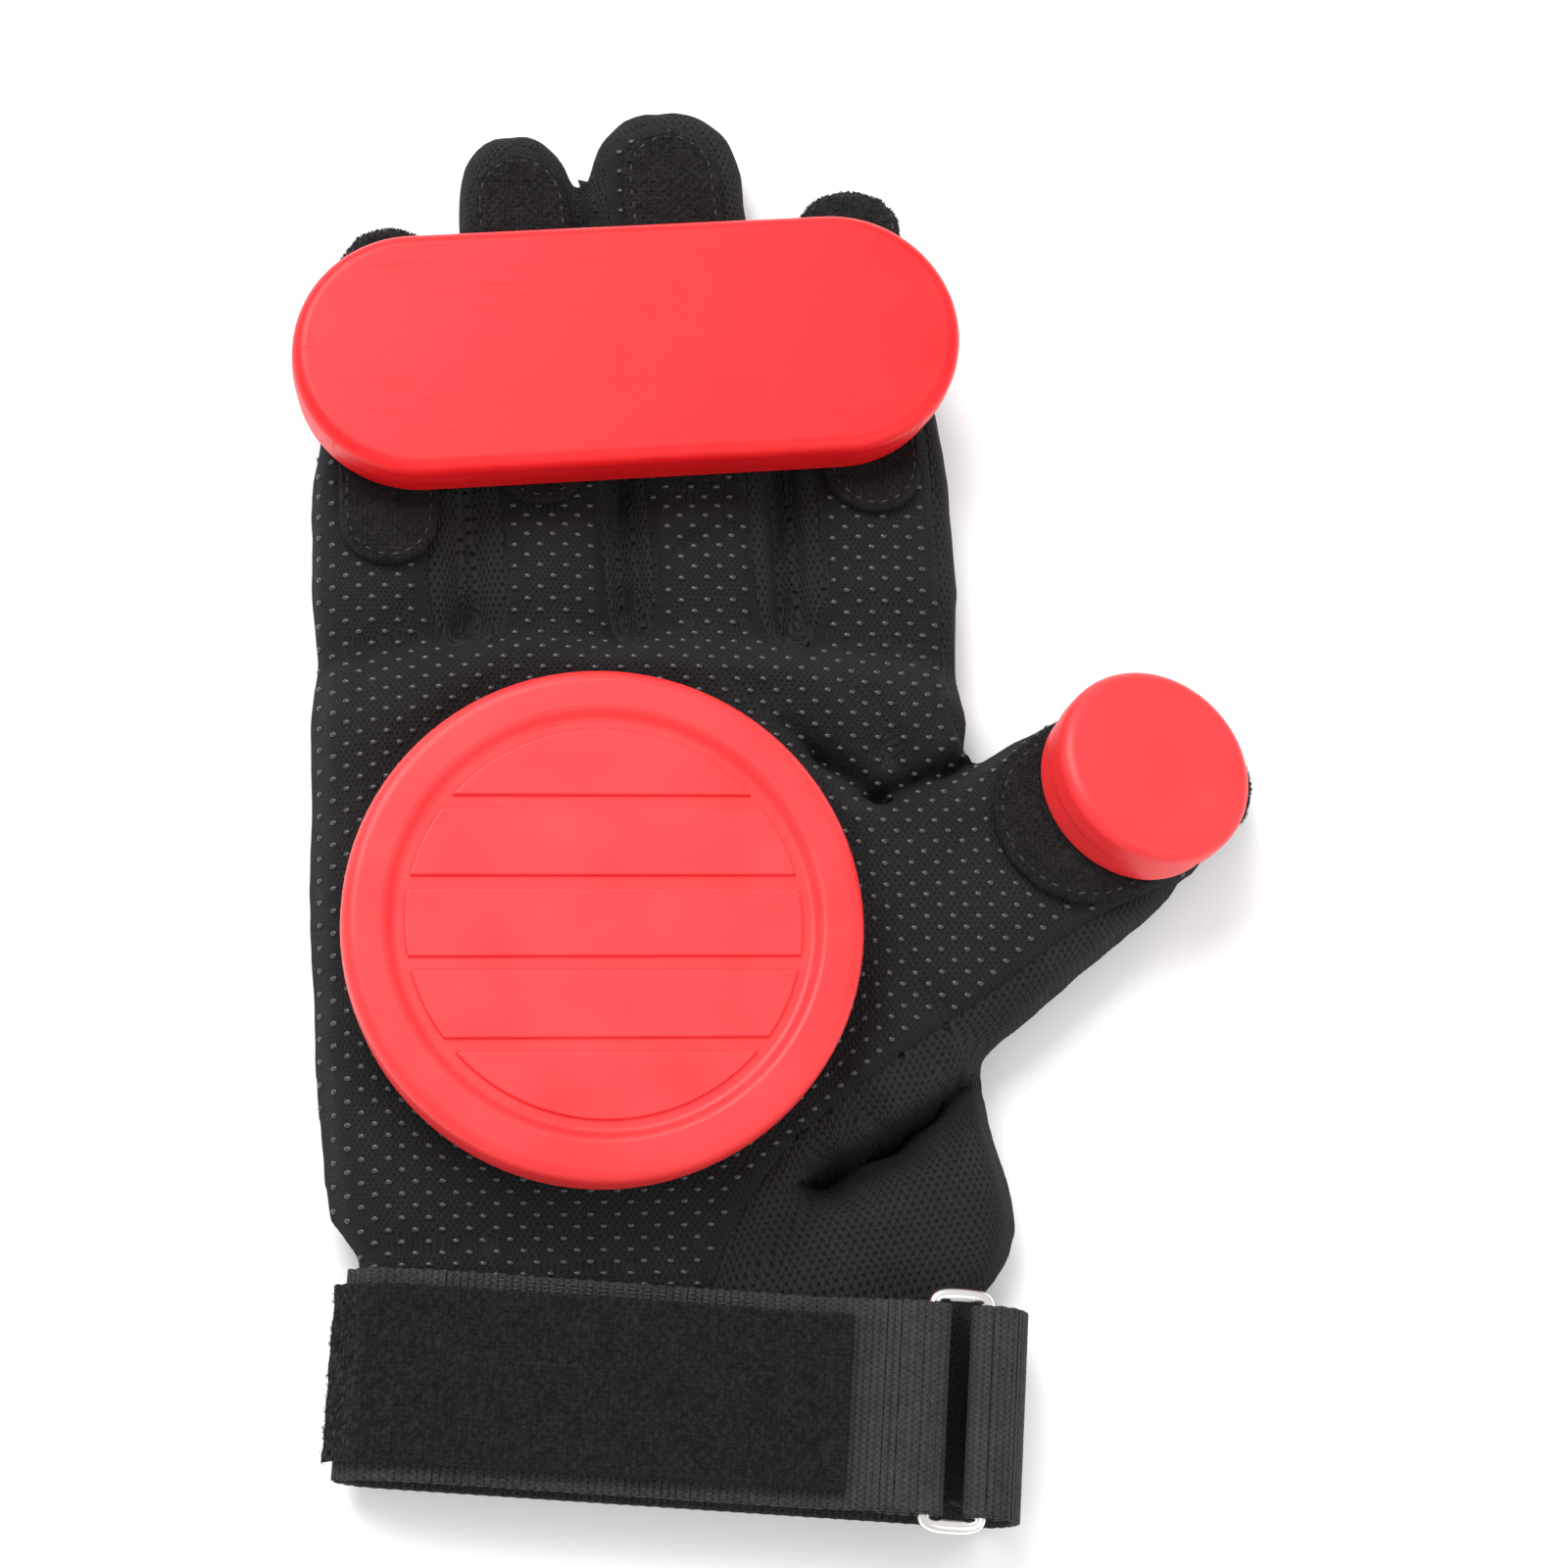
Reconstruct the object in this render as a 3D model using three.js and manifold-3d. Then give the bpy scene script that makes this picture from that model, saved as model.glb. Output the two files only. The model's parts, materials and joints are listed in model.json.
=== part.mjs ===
// Slide glove for a longboard rider, lying palm up: a sewn full-finger glove, loop pile patches,
// three moulded slide pucks held by hook and loop, and a wrist strap drawn through a wire ring.
// Millimetres, +Z up. The origin is on the surface that the glove lies on, under the palm puck's
// centre. +Y runs to the fingertips and +X to the thumb.

import * as THREE from 'three';
import { mergeVertices } from 'three/addons/utils/BufferGeometryUtils.js';
import Module from 'manifold-3d';

const wasm = await Module();
wasm.setup();

// Cloth and clearances
const clothWall = 1.6;
const pileThick = 1.8;
const webbingThick = 1.4;
const seamGap = 0.3;
const restGap = 0.3;

// Palm and wrist
const handAxisX = 9.2;
const knuckleY = 57.2;
const palmLength = 154;
const palmHeight = 20.5;
const seamHeight = 6.2;
const flattened = 2.5;
const palmPower = 3.6;
const fingerPower = 2.6;
const thumbPower = 2.8;

// Fingers, each measured from the knuckle line
const littleWidth = 28;
const ringWidth = 28;
const middleWidth = 27;
const indexWidth = 31;
const littleTip = 19;
const ringTip = 23;
const middleTip = 30;
const indexTip = 21.5;
const littleLength = 76.5;
const ringLength = 98.5;
const middleLength = 104;
const indexLength = 85.5;
const fingerHeight = 17;
const fingerGap = 1.6;
const tipCap = 12.5;
const tipInset = 4.5;
const knuckleBow = 5;
const crotchDepth = 12.5;
const panelFoot = 8.8;
const narrowingFrom = 0.45;

// Thumb
const thumbRootX = 44.3;
const thumbRootY = -11;
const thumbTurn = 35;
const thumbLength = 87;
const thumbWidth = 46;
const thumbHeight = 22;
const thumbCap = 15;

// Folds of the cloth
const foldRise = 6;
const foldSpread = 9;
const seatMargin = 3;
const seatSlope = 0.55;
const seatRise = 20;

// Slide pucks
const palmPuckWidth = 90;
const palmPuckThick = 13;
const palmSeatHeight = 19.4;
const palmPileWidth = 78;
const recessDepth = 1.6;
const rimWidth = 6.2;
const wearBarCount = 5;
const wearBarGap = 2.4;
const wearBarMargin = 2;
const wearBarHeight = 0.9;
const wearBarBevel = 0.4;
const fingerPuckLength = 120;
const fingerPuckWidth = 45;
const fingerPuckThick = 13;
const fingerPuckX = 6.8;
const fingerPuckY = 107;
const fingerPuckTurn = 4;
const fingerSeatHeight = 14.6;
const thumbPuckWidth = 37;
const thumbPuckThick = 12;
const thumbPuckAlong = 64.3;
const thumbPuckAcross = 2;
const thumbSeatHeight = 14.2;
const thumbSeatTilt = 18;
const edgeRound = 2.6;
const partingStep = 0.6;
const footRound = 0.8;
const partingShare = 0.45;

// Loop pile patches
const fingerPileWidth = 17.5;
const fingerPileFromTip = 7.2;
const thumbPileAlong = 37.5;
const thumbPileAcross = 3;
const thumbPileWidth = 33;

// Wrist strap
const strapWidth = 36;
const strapTurn = -4.8;
const strapFromOpening = 0.5;
const cuffPileWidth = 30;
const cuffPileThick = 2.2;
const cuffPileReach = 37;
const ringWire = 2.6;
const ringBarSpacing = 9.2;
const ringEndReach = 1.8;
const ringReach = 51;
const ringSquareness = 0.7;
const barPlay = 0.4;
const tapeTail = 8;
const strapTail = 4.5;
const foldWidth = 6.5;

// How the sections are shaped and divided
const palmTopSteps = 16;
const palmFloorSteps = 6;
const fingerTopSteps = 9;
const fingerFloorSteps = 4;
const fingerPanelSteps = 6;
const gussetSeamSteps = 16;
const palmPileSteps = 24;
const capSteps = 3;
const capOpenStep = 0.25;
const capSquareness = 0.6;
const edgeHold = 8;
const puckSteps = 12;
const palmPuckSteps = 18;
const seatSteps = 10;
const facetTolerance = 0.12;
const weldDistance = 1e-4;
const edgeCrowding = 0.55;
const turnSteps = 8;
const foldSteps = 12;
const wireSides = 8;

const rad = THREE.MathUtils.degToRad;
const wristY = knuckleY - palmLength;
const palmWidth = littleWidth + ringWidth + middleWidth + indexWidth + 3 * fingerGap;
const strapLift = webbingThick + restGap;
const strapY = wristY + strapFromOpening + strapWidth / 2;
const farAway = 400;

// Each finger: its sizes in mm, the lean of its axis in degrees towards the little finger, how far
// down the pile patch starts, and the shares of its width that the forks take on each side. A
// panel that wraps the side or the tip has no fork there.
const fingers = [
  { name: 'little', width: littleWidth, tip: littleTip, length: littleLength, lean: -1,
    forkLeft: -0.5, forkRight: 0.24, patchFrom: 0.15, wrapsTip: true },
  { name: 'ring', width: ringWidth, tip: ringTip, length: ringLength, lean: 3.4,
    forkLeft: 0.23, forkRight: 0.12, patchFrom: 0.24, wrapsTip: false },
  { name: 'middle', width: middleWidth, tip: middleTip, length: middleLength, lean: 4.1,
    forkLeft: 0.12, forkRight: 0.2, patchFrom: 0.27, wrapsTip: false },
  { name: 'index', width: indexWidth, tip: indexTip, length: indexLength, lean: 2.3,
    forkLeft: 0.16, forkRight: 0.14, patchFrom: 0.26, wrapsTip: true },
];
let rootLeft = handAxisX - palmWidth / 2;
for (const finger of fingers) {
  finger.rootX = rootLeft + finger.width / 2;
  rootLeft += finger.width + fingerGap;
}

// Sections of the palm from the wrist opening (0) to the knuckles (1): the side edges as shares of
// half the palm's width, the height as a share of its height, how far the strap lifts it, how far
// it turns with the strap, how far the row moves out with the growth of the cloth, and how far its
// middle bows towards the fingers.
const palmRows = [
  { along: 0, left: 0.885, right: 0.95, high: 0.8, lift: 1, turn: 1, reach: 0, bow: 0 },
  { along: 0.125, left: 0.885, right: 0.95, high: 0.8, lift: 1, turn: 1, reach: 0, bow: 0 },
  { along: 0.25, left: 0.895, right: 0.95, high: 0.8, lift: 1, turn: 1, reach: 0, bow: 0 },
  { along: 0.29, left: 0.975, right: 1.03, high: 0.87, lift: 0.5, turn: 0.9, reach: 0, bow: 0 },
  { along: 0.325, left: 0.989, right: 1.07, high: 0.94, lift: 0.1, turn: 0.7, reach: 0, bow: 0 },
  { along: 0.37, left: 0.99, right: 1.055, high: 1, lift: 0, turn: 0.5, reach: 0, bow: 0 },
  { along: 0.42, left: 0.993, right: 1.015, high: 1.04, lift: 0, turn: 0.3, reach: 0, bow: 0 },
  { along: 0.47, left: 0.994, right: 1, high: 1.05, lift: 0, turn: 0.1, reach: 0, bow: 0 },
  { along: 0.53, left: 0.998, right: 0.99, high: 1.05, lift: 0, turn: 0, reach: 0, bow: 0 },
  { along: 0.65, left: 1.002, right: 0.985, high: 1.05, lift: 0, turn: 0, reach: 0, bow: 0 },
  { along: 0.77, left: 1, right: 0.99, high: 1.05, lift: 0, turn: 0, reach: 0, bow: 0.3 },
  { along: 0.83, left: 1, right: 1, high: 1.04, lift: 0, turn: 0, reach: 0, bow: 0.6 },
  { along: 0.88, left: 1, right: 1.01, high: 1.02, lift: 0, turn: 0, reach: 0, bow: 0.9 },
  { along: 0.92, left: 0.995, right: 1, high: 0.97, lift: 0, turn: 0, reach: 0, bow: 1 },
  { along: 0.95, left: 0.99, right: 0.99, high: 0.86, lift: 0, turn: 0, reach: 0.4, bow: 1 },
  { along: 0.965, left: 0.985, right: 0.985, high: 0.62, lift: 0, turn: 0, reach: 0.9, bow: 1 },
  { along: 0.97, left: 0.98, right: 0.98, high: 0.35, lift: 0, turn: 0, reach: 1, bow: 1 },
];

// Sections of a finger from inside the palm, past the knuckle line (0), to its round end (1), with
// the width and the height as shares of the finger's own.
const fingerRows = [
  { along: -0.18, wide: 0.9, high: 0.7 },
  { along: 0.12, wide: 1, high: 1 },
  { along: 0.45, wide: 1, high: 0.97 },
  { along: 0.66, wide: 1, high: 0.94 },
  { along: 0.84, wide: 1, high: 0.88 },
  { along: 1, wide: 1, high: 0.8 },
];

// Sections of the thumb from its root (0) to its round end (1): the edge towards the fingers and
// the edge towards the wrist as shares of half its width, and the height as a share of its height.
const thumbRows = [
  { along: 0, fingerSide: 0.4, wristSide: 0.5, high: 0.55 },
  { along: 0.2, fingerSide: 0.9, wristSide: 0.94, high: 0.95 },
  { along: 0.34, fingerSide: 1, wristSide: 0.91, high: 1 },
  { along: 0.48, fingerSide: 1, wristSide: 0.87, high: 1 },
  { along: 0.62, fingerSide: 0.99, wristSide: 0.83, high: 0.96 },
  { along: 0.76, fingerSide: 0.97, wristSide: 0.81, high: 0.86 },
  { along: 0.89, fingerSide: 0.93, wristSide: 0.77, high: 0.74 },
  { along: 1, fingerSide: 0.84, wristSide: 0.69, high: 0.62 },
];

// Where the palm panel's outline runs over the thumb, from the crotch to beyond its tip, as shares
// of the thumb's length and width.
const thumbOver = [
  { along: 0.53, across: 0.42 },
  { along: 0.64, across: 0.65 },
  { along: 1.4, across: 1 },
  { along: 1.4, across: -0.4 },
];

// Folds and dents of the upper cloth: both ends of the crease's line as shares of half the palm's
// width and of its length, from the origin, the rise as a share of foldRise and the spread as a
// share of foldSpread.
const folds = [
  { x1: -0.72, y1: 0.26, x2: -0.2, y2: 0.335, rise: 0.32, spread: 0.75 },
  { x1: -0.2, y1: 0.335, x2: 0.62, y2: 0.315, rise: 0.3, spread: 0.7 },
  { x1: 0.5, y1: 0.275, x2: 0.84, y2: 0.195, rise: -0.5, spread: 0.5 },
  { x1: 0.84, y1: 0.195, x2: 1.1, y2: 0.235, rise: -0.62, spread: 0.55 },
  { x1: 0.66, y1: -0.25, x2: 1.2, y2: -0.13, rise: -0.75, spread: 0.6 },
  { x1: 0.64, y1: -0.255, x2: 0.74, y2: -0.235, rise: -0.55, spread: 0.55 },
  { x1: 0.6, y1: -0.18, x2: 0.95, y2: -0.07, rise: 0.22, spread: 1 },
  { x1: 0.8, y1: -0.335, x2: 1.02, y2: -0.27, rise: 0.25, spread: 0.9 },
  { x1: -0.8, y1: -0.31, x2: 0.3, y2: -0.345, rise: -0.2, spread: 0.8 },
];

// The seam between the palm panel and the thumb gusset, as shares of half the palm's width and of
// its length, from the thumb's tip to the wrist.
const gussetSeam = [
  { x: 1.88, y: 0.096 },
  { x: 1.5, y: 0.028 },
  { x: 1.155, y: -0.067 },
  { x: 0.805, y: -0.157 },
  { x: 0.5, y: -0.255 },
  { x: 0.335, y: -0.37 },
  { x: 0.25, y: -0.5 },
];

// Solids from three.js geometry, and back
function toSolid(geometry) {
  const bare = geometry.index ? geometry.toNonIndexed() : geometry.clone();
  bare.deleteAttribute('normal');
  bare.deleteAttribute('uv');
  const merged = mergeVertices(bare, weldDistance);
  return new wasm.Manifold(new wasm.Mesh({
    numProp: 3,
    vertProperties: new Float32Array(merged.attributes.position.array),
    triVerts: new Uint32Array(merged.index.array),
  }));
}

// The largest body of a cut piece, without the crumbs that a cut can leave beside it.
function mainBody(solid) {
  const bodies = solid.decompose();
  return bodies.reduce((largest, body) => (body.volume() > largest.volume() ? body : largest));
}

function toGeometry(solid) {
  const mesh = mainBody(solid.simplify(facetTolerance)).getMesh();
  const geometry = new THREE.BufferGeometry();
  geometry.setAttribute('position', new THREE.BufferAttribute(mesh.vertProperties, 3));
  geometry.setIndex(new THREE.BufferAttribute(mesh.triVerts, 1));
  geometry.computeVertexNormals();
  return geometry;
}

// A skin through rings of as many points each, closed by a fan at both ends, or on itself.
function loft(rings, closed = false) {
  const count = rings[0].length;
  const points = rings.flat();
  const faces = [];
  const spans = closed ? rings.length : rings.length - 1;
  for (let row = 0; row < spans; row++) {
    const next = (row + 1) % rings.length;
    for (let i = 0; i < count; i++) {
      const j = (i + 1) % count;
      faces.push(row * count + i, row * count + j, next * count + j);
      faces.push(row * count + i, next * count + j, next * count + i);
    }
  }
  if (!closed) {
    const first = points.length;
    points.push(middleOf(rings[0]), middleOf(rings[rings.length - 1]));
    const lastRow = (rings.length - 1) * count;
    for (let i = 0; i < count; i++) {
      const j = (i + 1) % count;
      faces.push(first, j, i, first + 1, lastRow + i, lastRow + j);
    }
  }
  const geometry = new THREE.BufferGeometry().setFromPoints(points);
  geometry.setIndex(faces);
  return geometry;
}

function middleOf(ring) {
  const sum = ring.reduce((total, point) => total.add(point), new THREE.Vector3());
  return sum.divideScalar(ring.length);
}

// A straight-sided block over a closed outline.
function prism(outline, bottom, top) {
  const shape = new THREE.Shape(outline.map((point) => new THREE.Vector2(point.x, point.y)));
  const geometry = new THREE.ExtrudeGeometry(shape, { depth: top - bottom, bevelEnabled: false });
  return toSolid(geometry.translate(0, 0, bottom));
}

// The outline moved outwards by a distance. Outlines run counter-clockwise.
function widened(outline, distance) {
  return outline.map((point, i) => {
    const before = outline[(i + outline.length - 1) % outline.length];
    const after = outline[(i + 1) % outline.length];
    const along = new THREE.Vector2(after.x - before.x, after.y - before.y).normalize();
    return new THREE.Vector2(point.x + along.y * distance, point.y - along.x * distance);
  });
}

// Distance from a point to a line between two points.
function lineDistance(x, y, x1, y1, x2, y2) {
  const dx = x2 - x1;
  const dy = y2 - y1;
  const share = THREE.MathUtils.clamp(((x - x1) * dx + (y - y1) * dy) / (dx * dx + dy * dy), 0, 1);
  return Math.hypot(x - x1 - share * dx, y - y1 - share * dy);
}

function foldAt(x, y) {
  const halfWidth = palmWidth / 2;
  let rise = 0;
  for (const fold of folds) {
    const distance = lineDistance(x, y, fold.x1 * halfWidth, fold.y1 * palmLength,
      fold.x2 * halfWidth, fold.y2 * palmLength);
    rise += fold.rise * foldRise * Math.exp(-((distance / (fold.spread * foldSpread)) ** 2));
  }
  return rise;
}

// The thumb's own axes: along it from its root, and across it towards the fingers.
const thumbDirection = new THREE.Vector2(Math.cos(rad(thumbTurn)), Math.sin(rad(thumbTurn)));
function fromThumb(along, across) {
  return new THREE.Vector2(
    thumbRootX + along * thumbDirection.x - across * thumbDirection.y,
    thumbRootY + along * thumbDirection.y + across * thumbDirection.x);
}

// Each puck lies on a flat that it presses into the cloth. A seat is placed by its middle, its turn
// in plan and its tilt down along its own X axis.
function addSeat(x, y, z, turn, tilt, straight, radius) {
  const seat = new THREE.Group();
  seat.position.set(x, y, z);
  seat.rotation.set(0, rad(tilt), rad(turn), 'ZYX');
  seat.updateMatrixWorld();
  seat.userData = { straight, radius };
  return seat;
}
const fingerPuckStraight = (fingerPuckLength - fingerPuckWidth) / 2;
const thumbPuckPlace = fromThumb(thumbPuckAlong, thumbPuckAcross);
const palmSeat = addSeat(0, 0, palmSeatHeight, 0, 0, 0, palmPuckWidth / 2);
const fingerSeat = addSeat(fingerPuckX, fingerPuckY, fingerSeatHeight, fingerPuckTurn, 0,
  fingerPuckStraight, fingerPuckWidth / 2);
const thumbSeat = addSeat(thumbPuckPlace.x, thumbPuckPlace.y, thumbSeatHeight, thumbTurn,
  thumbSeatTilt, 0, thumbPuckWidth / 2);

// What a seat takes off the cloth: all above its flat, with a slope all round.
function seatCut(seat, growth) {
  const { straight, radius } = seat.userData;
  const reach = radius + seatMargin - growth;
  return outwards(loft([
    pillRing(straight, reach, growth, seatSteps),
    pillRing(straight, reach + seatRise / seatSlope, growth + seatRise, seatSteps),
  ]).applyMatrix4(seat.matrixWorld));
}

// Height of a rounded section above its middle, at a share of its half width.
const crown = (share, power) => (1 - Math.abs(share) ** power) ** (1 / power);

// Shares of the half width for the points across a section, crowded towards its edges.
function crossShares(steps) {
  const shares = [];
  for (let i = 0; i <= steps; i++) {
    const turn = -1 + (2 * i) / steps;
    shares.push((1 - edgeCrowding) * turn + edgeCrowding * Math.sin((turn * Math.PI) / 2));
  }
  return shares;
}

// One ring of cloth: `place` puts a point across the section into the glove's plan. The ring lies
// flat on the surface, and its upper half takes the folds.
function clothRing(section, growth, topSteps, floorSteps, place) {
  const top = section.top;
  const bottom = section.lift - flattened;
  const middle = (top + bottom) / 2;
  const half = ((top - bottom) / 2 + growth) * section.shrink;
  const ring = [];
  const add = (share, side) => {
    const reach = share < 0 ? section.left : section.right;
    const flat = place(share * (reach + growth) * section.taper);
    let z = middle + side * half * crown(share, section.power);
    if (side > 0) z += foldAt(flat.x, flat.y) * (1 - Math.abs(share) ** edgeHold) * section.folding;
    ring.push(new THREE.Vector3(flat.x, flat.y, Math.max(z, section.lift - growth)));
  };
  const topShares = crossShares(topSteps);
  const floorShares = crossShares(floorSteps).slice(1, -1);
  floorShares.forEach((share) => add(share, -1));
  topShares.reverse().forEach((share) => add(share, 1));
  return ring;
}

// The palm, from the wrist opening to the knuckles. Its rows turn about the middle of the strap, and
// a hollow runs out past the opening.
function palmRings(growth) {
  const half = palmWidth / 2;
  const rows = growth < 0 ? [{ ...palmRows[0], along: -clothWall / palmLength }, ...palmRows]
    : palmRows;
  return rows.map((row) => {
    const turn = rad(strapTurn * row.turn);
    const beyond = wristY + row.along * palmLength + row.reach * growth - strapY;
    const bow = (across) => row.bow * knuckleBow * (1 - (across / half) ** 2);
    return clothRing({
      left: row.left * half, right: row.right * half, top: row.high * palmHeight,
      lift: row.lift * strapLift, power: palmPower, shrink: 1, taper: 1, folding: 1,
    }, growth, palmTopSteps, palmFloorSteps, (across) => new THREE.Vector2(
      handAxisX + across * Math.cos(turn) - beyond * Math.sin(turn),
      strapY + across * Math.sin(turn) + beyond * Math.cos(turn) + bow(across)));
  });
}

function fingerHalfWidth(finger, along) {
  const share = along / (finger.length - tipCap);
  const narrowing = THREE.MathUtils.smoothstep(share, narrowingFrom, 1);
  return (finger.width + (finger.tip - finger.width) * narrowing) / 2;
}

function fromFinger(finger, across, along) {
  const lean = rad(finger.lean);
  return new THREE.Vector2(
    finger.rootX + across * Math.cos(lean) - along * Math.sin(lean),
    knuckleY + across * Math.sin(lean) + along * Math.cos(lean));
}

// Rows of a round end: how far each has gone along it, and what is left of the width and height.
function capRows() {
  const rows = [];
  for (let i = 1; i <= capSteps; i++) {
    const turn = (i / (capSteps + capOpenStep)) * (Math.PI / 2);
    rows.push({ along: Math.sin(turn), taper: Math.cos(turn), shrink: Math.cos(turn) ** capSquareness });
  }
  return rows;
}

function fingerRings(finger, growth) {
  const straight = finger.length - tipCap;
  const rows = fingerRows.map((row) => ({
    at: row.along * straight, high: row.high, taper: 1, shrink: 1,
    half: row.wide * fingerHalfWidth(finger, row.along * straight),
  }));
  const last = rows[rows.length - 1];
  for (const cap of capRows())
    rows.push({ ...last, at: straight + cap.along * (tipCap + growth),
      taper: cap.taper, shrink: cap.shrink });
  return rows.map((row) => clothRing({
    left: row.half, right: row.half, top: row.high * fingerHeight, lift: 0, power: fingerPower,
    shrink: row.shrink, taper: row.taper, folding: 0,
  }, growth, fingerTopSteps, fingerFloorSteps, (across) => fromFinger(finger, across, row.at)));
}

function thumbRings(growth) {
  const half = thumbWidth / 2;
  const straight = thumbLength - thumbCap;
  const rows = thumbRows.map((row) => ({
    at: row.along * straight, high: row.high, taper: 1, shrink: 1,
    left: row.wristSide * half, right: row.fingerSide * half,
  }));
  const last = rows[rows.length - 1];
  for (const cap of capRows())
    rows.push({ ...last, at: straight + cap.along * (thumbCap + growth),
      taper: cap.taper, shrink: cap.shrink });
  return rows.map((row) => clothRing({
    left: row.left, right: row.right, top: row.high * thumbHeight, lift: 0, power: thumbPower,
    shrink: row.shrink, taper: row.taper, folding: 1,
  }, growth, fingerTopSteps, fingerFloorSteps, (across) => fromThumb(row.at, across)).reverse());
}

// The whole glove as one filled solid, grown or shrunk by a distance.
function filledGlove(growth) {
  const lofts = [palmRings(growth), thumbRings(growth)];
  fingers.forEach((finger) => lofts.push(fingerRings(finger, growth)));
  const filled = wasm.Manifold.union(lofts.map((rings) => outwards(loft(rings))));
  return [palmSeat, fingerSeat, thumbSeat].reduce(
    (solid, seat) => solid.subtract(seatCut(seat, growth)), filled);
}

// A loft whose rings ran the other way round is turned inside out again.
function outwards(geometry) {
  const solid = toSolid(geometry);
  if (solid.volume() > 0) return solid;
  const index = geometry.index.array;
  for (let i = 0; i < index.length; i += 3) [index[i + 1], index[i + 2]] = [index[i + 2], index[i + 1]];
  return toSolid(geometry);
}

// One finger's share of the palm panel's outline, from its left foot round the tip to its right.
function fingerPanel(finger) {
  const straight = finger.length - tipCap;
  const leftSide = [];
  const rightSide = [];
  for (let i = 0; i <= fingerPanelSteps; i++) {
    const along = panelFoot + (i / fingerPanelSteps) * (straight - panelFoot);
    const half = fingerHalfWidth(finger, along);
    leftSide.push(fromFinger(finger, -half + finger.forkLeft * finger.width, along));
    rightSide.push(fromFinger(finger, half - finger.forkRight * finger.width, along));
  }
  const half = finger.tip / 2;
  const left = -half + finger.forkLeft * finger.width;
  const right = half - finger.forkRight * finger.width;
  const reach = finger.wrapsTip ? tipCap * 2 : tipCap - tipInset;
  const tip = [];
  for (let i = 1; i < fingerPanelSteps; i++) {
    const turn = Math.PI * (1 - i / fingerPanelSteps);
    tip.push(fromFinger(finger, (left + right) / 2 + (right - left) / 2 * Math.cos(turn),
      straight + reach * Math.sin(turn)));
  }
  return { leftSide, tip, rightSide: rightSide.reverse() };
}

// The palm panel's outline, counter-clockwise: the gusset seam and the wrist, the little finger's
// side, the fingers with a round notch between each two, and over the thumb.
function palmOutline() {
  const half = palmWidth / 2;
  const seam = gussetSeam.map((point) => new THREE.Vector2(point.x * half, point.y * palmLength));
  const curve = new THREE.SplineCurve(seam).getSpacedPoints(gussetSeamSteps);
  const beyond = handAxisX - palmWidth;
  const ring = [new THREE.Vector2(curve[gussetSeamSteps].x, wristY - half),
    new THREE.Vector2(beyond, wristY - half), new THREE.Vector2(beyond, knuckleY)];
  const panels = fingers.map(fingerPanel);
  panels.forEach((panel, i) => {
    ring.push(...panel.leftSide, ...panel.tip, ...panel.rightSide);
    if (i < panels.length - 1) {
      const from = panel.rightSide[panel.rightSide.length - 1];
      const to = panels[i + 1].leftSide[0];
      for (let step = 1; step < fingerPanelSteps; step++) {
        const turn = Math.PI * (step / fingerPanelSteps);
        ring.push(new THREE.Vector2((from.x + to.x) / 2 - (to.x - from.x) / 2 * Math.cos(turn),
          (from.y + to.y) / 2 - crotchDepth * Math.sin(turn)));
      }
    }
  });
  const overThumb = thumbOver.map((row) => fromThumb(row.along * thumbLength, row.across * thumbWidth));
  const indexFoot = panels[panels.length - 1].rightSide.at(-1);
  ring.push(new THREE.Vector2(indexFoot.x, overThumb[0].y + crotchDepth), ...overThumb);
  return [...ring, ...curve].reverse();
}

// The sewn panels: the palm panel, a fork between each two fingers, the thumb gusset and the back.
function sewnPanels() {
  const shell = filledGlove(0).subtract(filledGlove(-clothWall));
  const outline = palmOutline();
  const panels = { palm_panel: shell.intersect(prism(outline, seamHeight, farAway)) };
  let rest = shell.subtract(prism(widened(outline, seamGap), seamHeight - seamGap, farAway));
  for (let i = 0; i < fingers.length - 1; i++) {
    const [left, right] = [fingers[i], fingers[i + 1]];
    const zone = (inset) => [
      new THREE.Vector2(left.rootX + inset, knuckleY - crotchDepth),
      new THREE.Vector2(right.rootX - inset, knuckleY - crotchDepth),
      fromFinger(right, -inset, farAway / 2),
      fromFinger(left, inset, farAway / 2),
    ];
    panels[`fork_${left.name}_${right.name}`] = rest.intersect(
      prism(zone(seamGap / 2), seamHeight, farAway));
    rest = rest.subtract(prism(zone(-seamGap / 2), seamHeight - seamGap, farAway));
  }
  const crotchY = fromThumb(thumbOver[0].along * thumbLength, thumbOver[0].across * thumbWidth).y;
  const gusset = [new THREE.Vector2(-farAway, -farAway), new THREE.Vector2(farAway, -farAway),
    new THREE.Vector2(farAway, crotchY), new THREE.Vector2(-farAway, crotchY)];
  panels.thumb_gusset = rest.intersect(prism(gusset, seamHeight, farAway));
  panels.back_panel = rest.subtract(prism(gusset, seamHeight - seamGap, farAway));
  return panels;
}

// A patch's outline in a finger's or the thumb's own axes: round at its foot, and round or straight
// at its end.
function pileOutline(width, foot, end, roundEnd, place) {
  const radius = width / 2;
  const outline = [];
  for (let i = 0; i <= turnSteps; i++) {
    const turn = Math.PI * (1 + i / turnSteps);
    outline.push(place(radius * Math.cos(turn), foot + radius + radius * Math.sin(turn)));
  }
  for (let i = 0; i <= turnSteps; i++) {
    const turn = Math.PI * (i / turnSteps);
    outline.push(place(radius * Math.cos(turn), end - radius + roundEnd * radius * Math.sin(turn)));
  }
  return outline;
}

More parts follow.
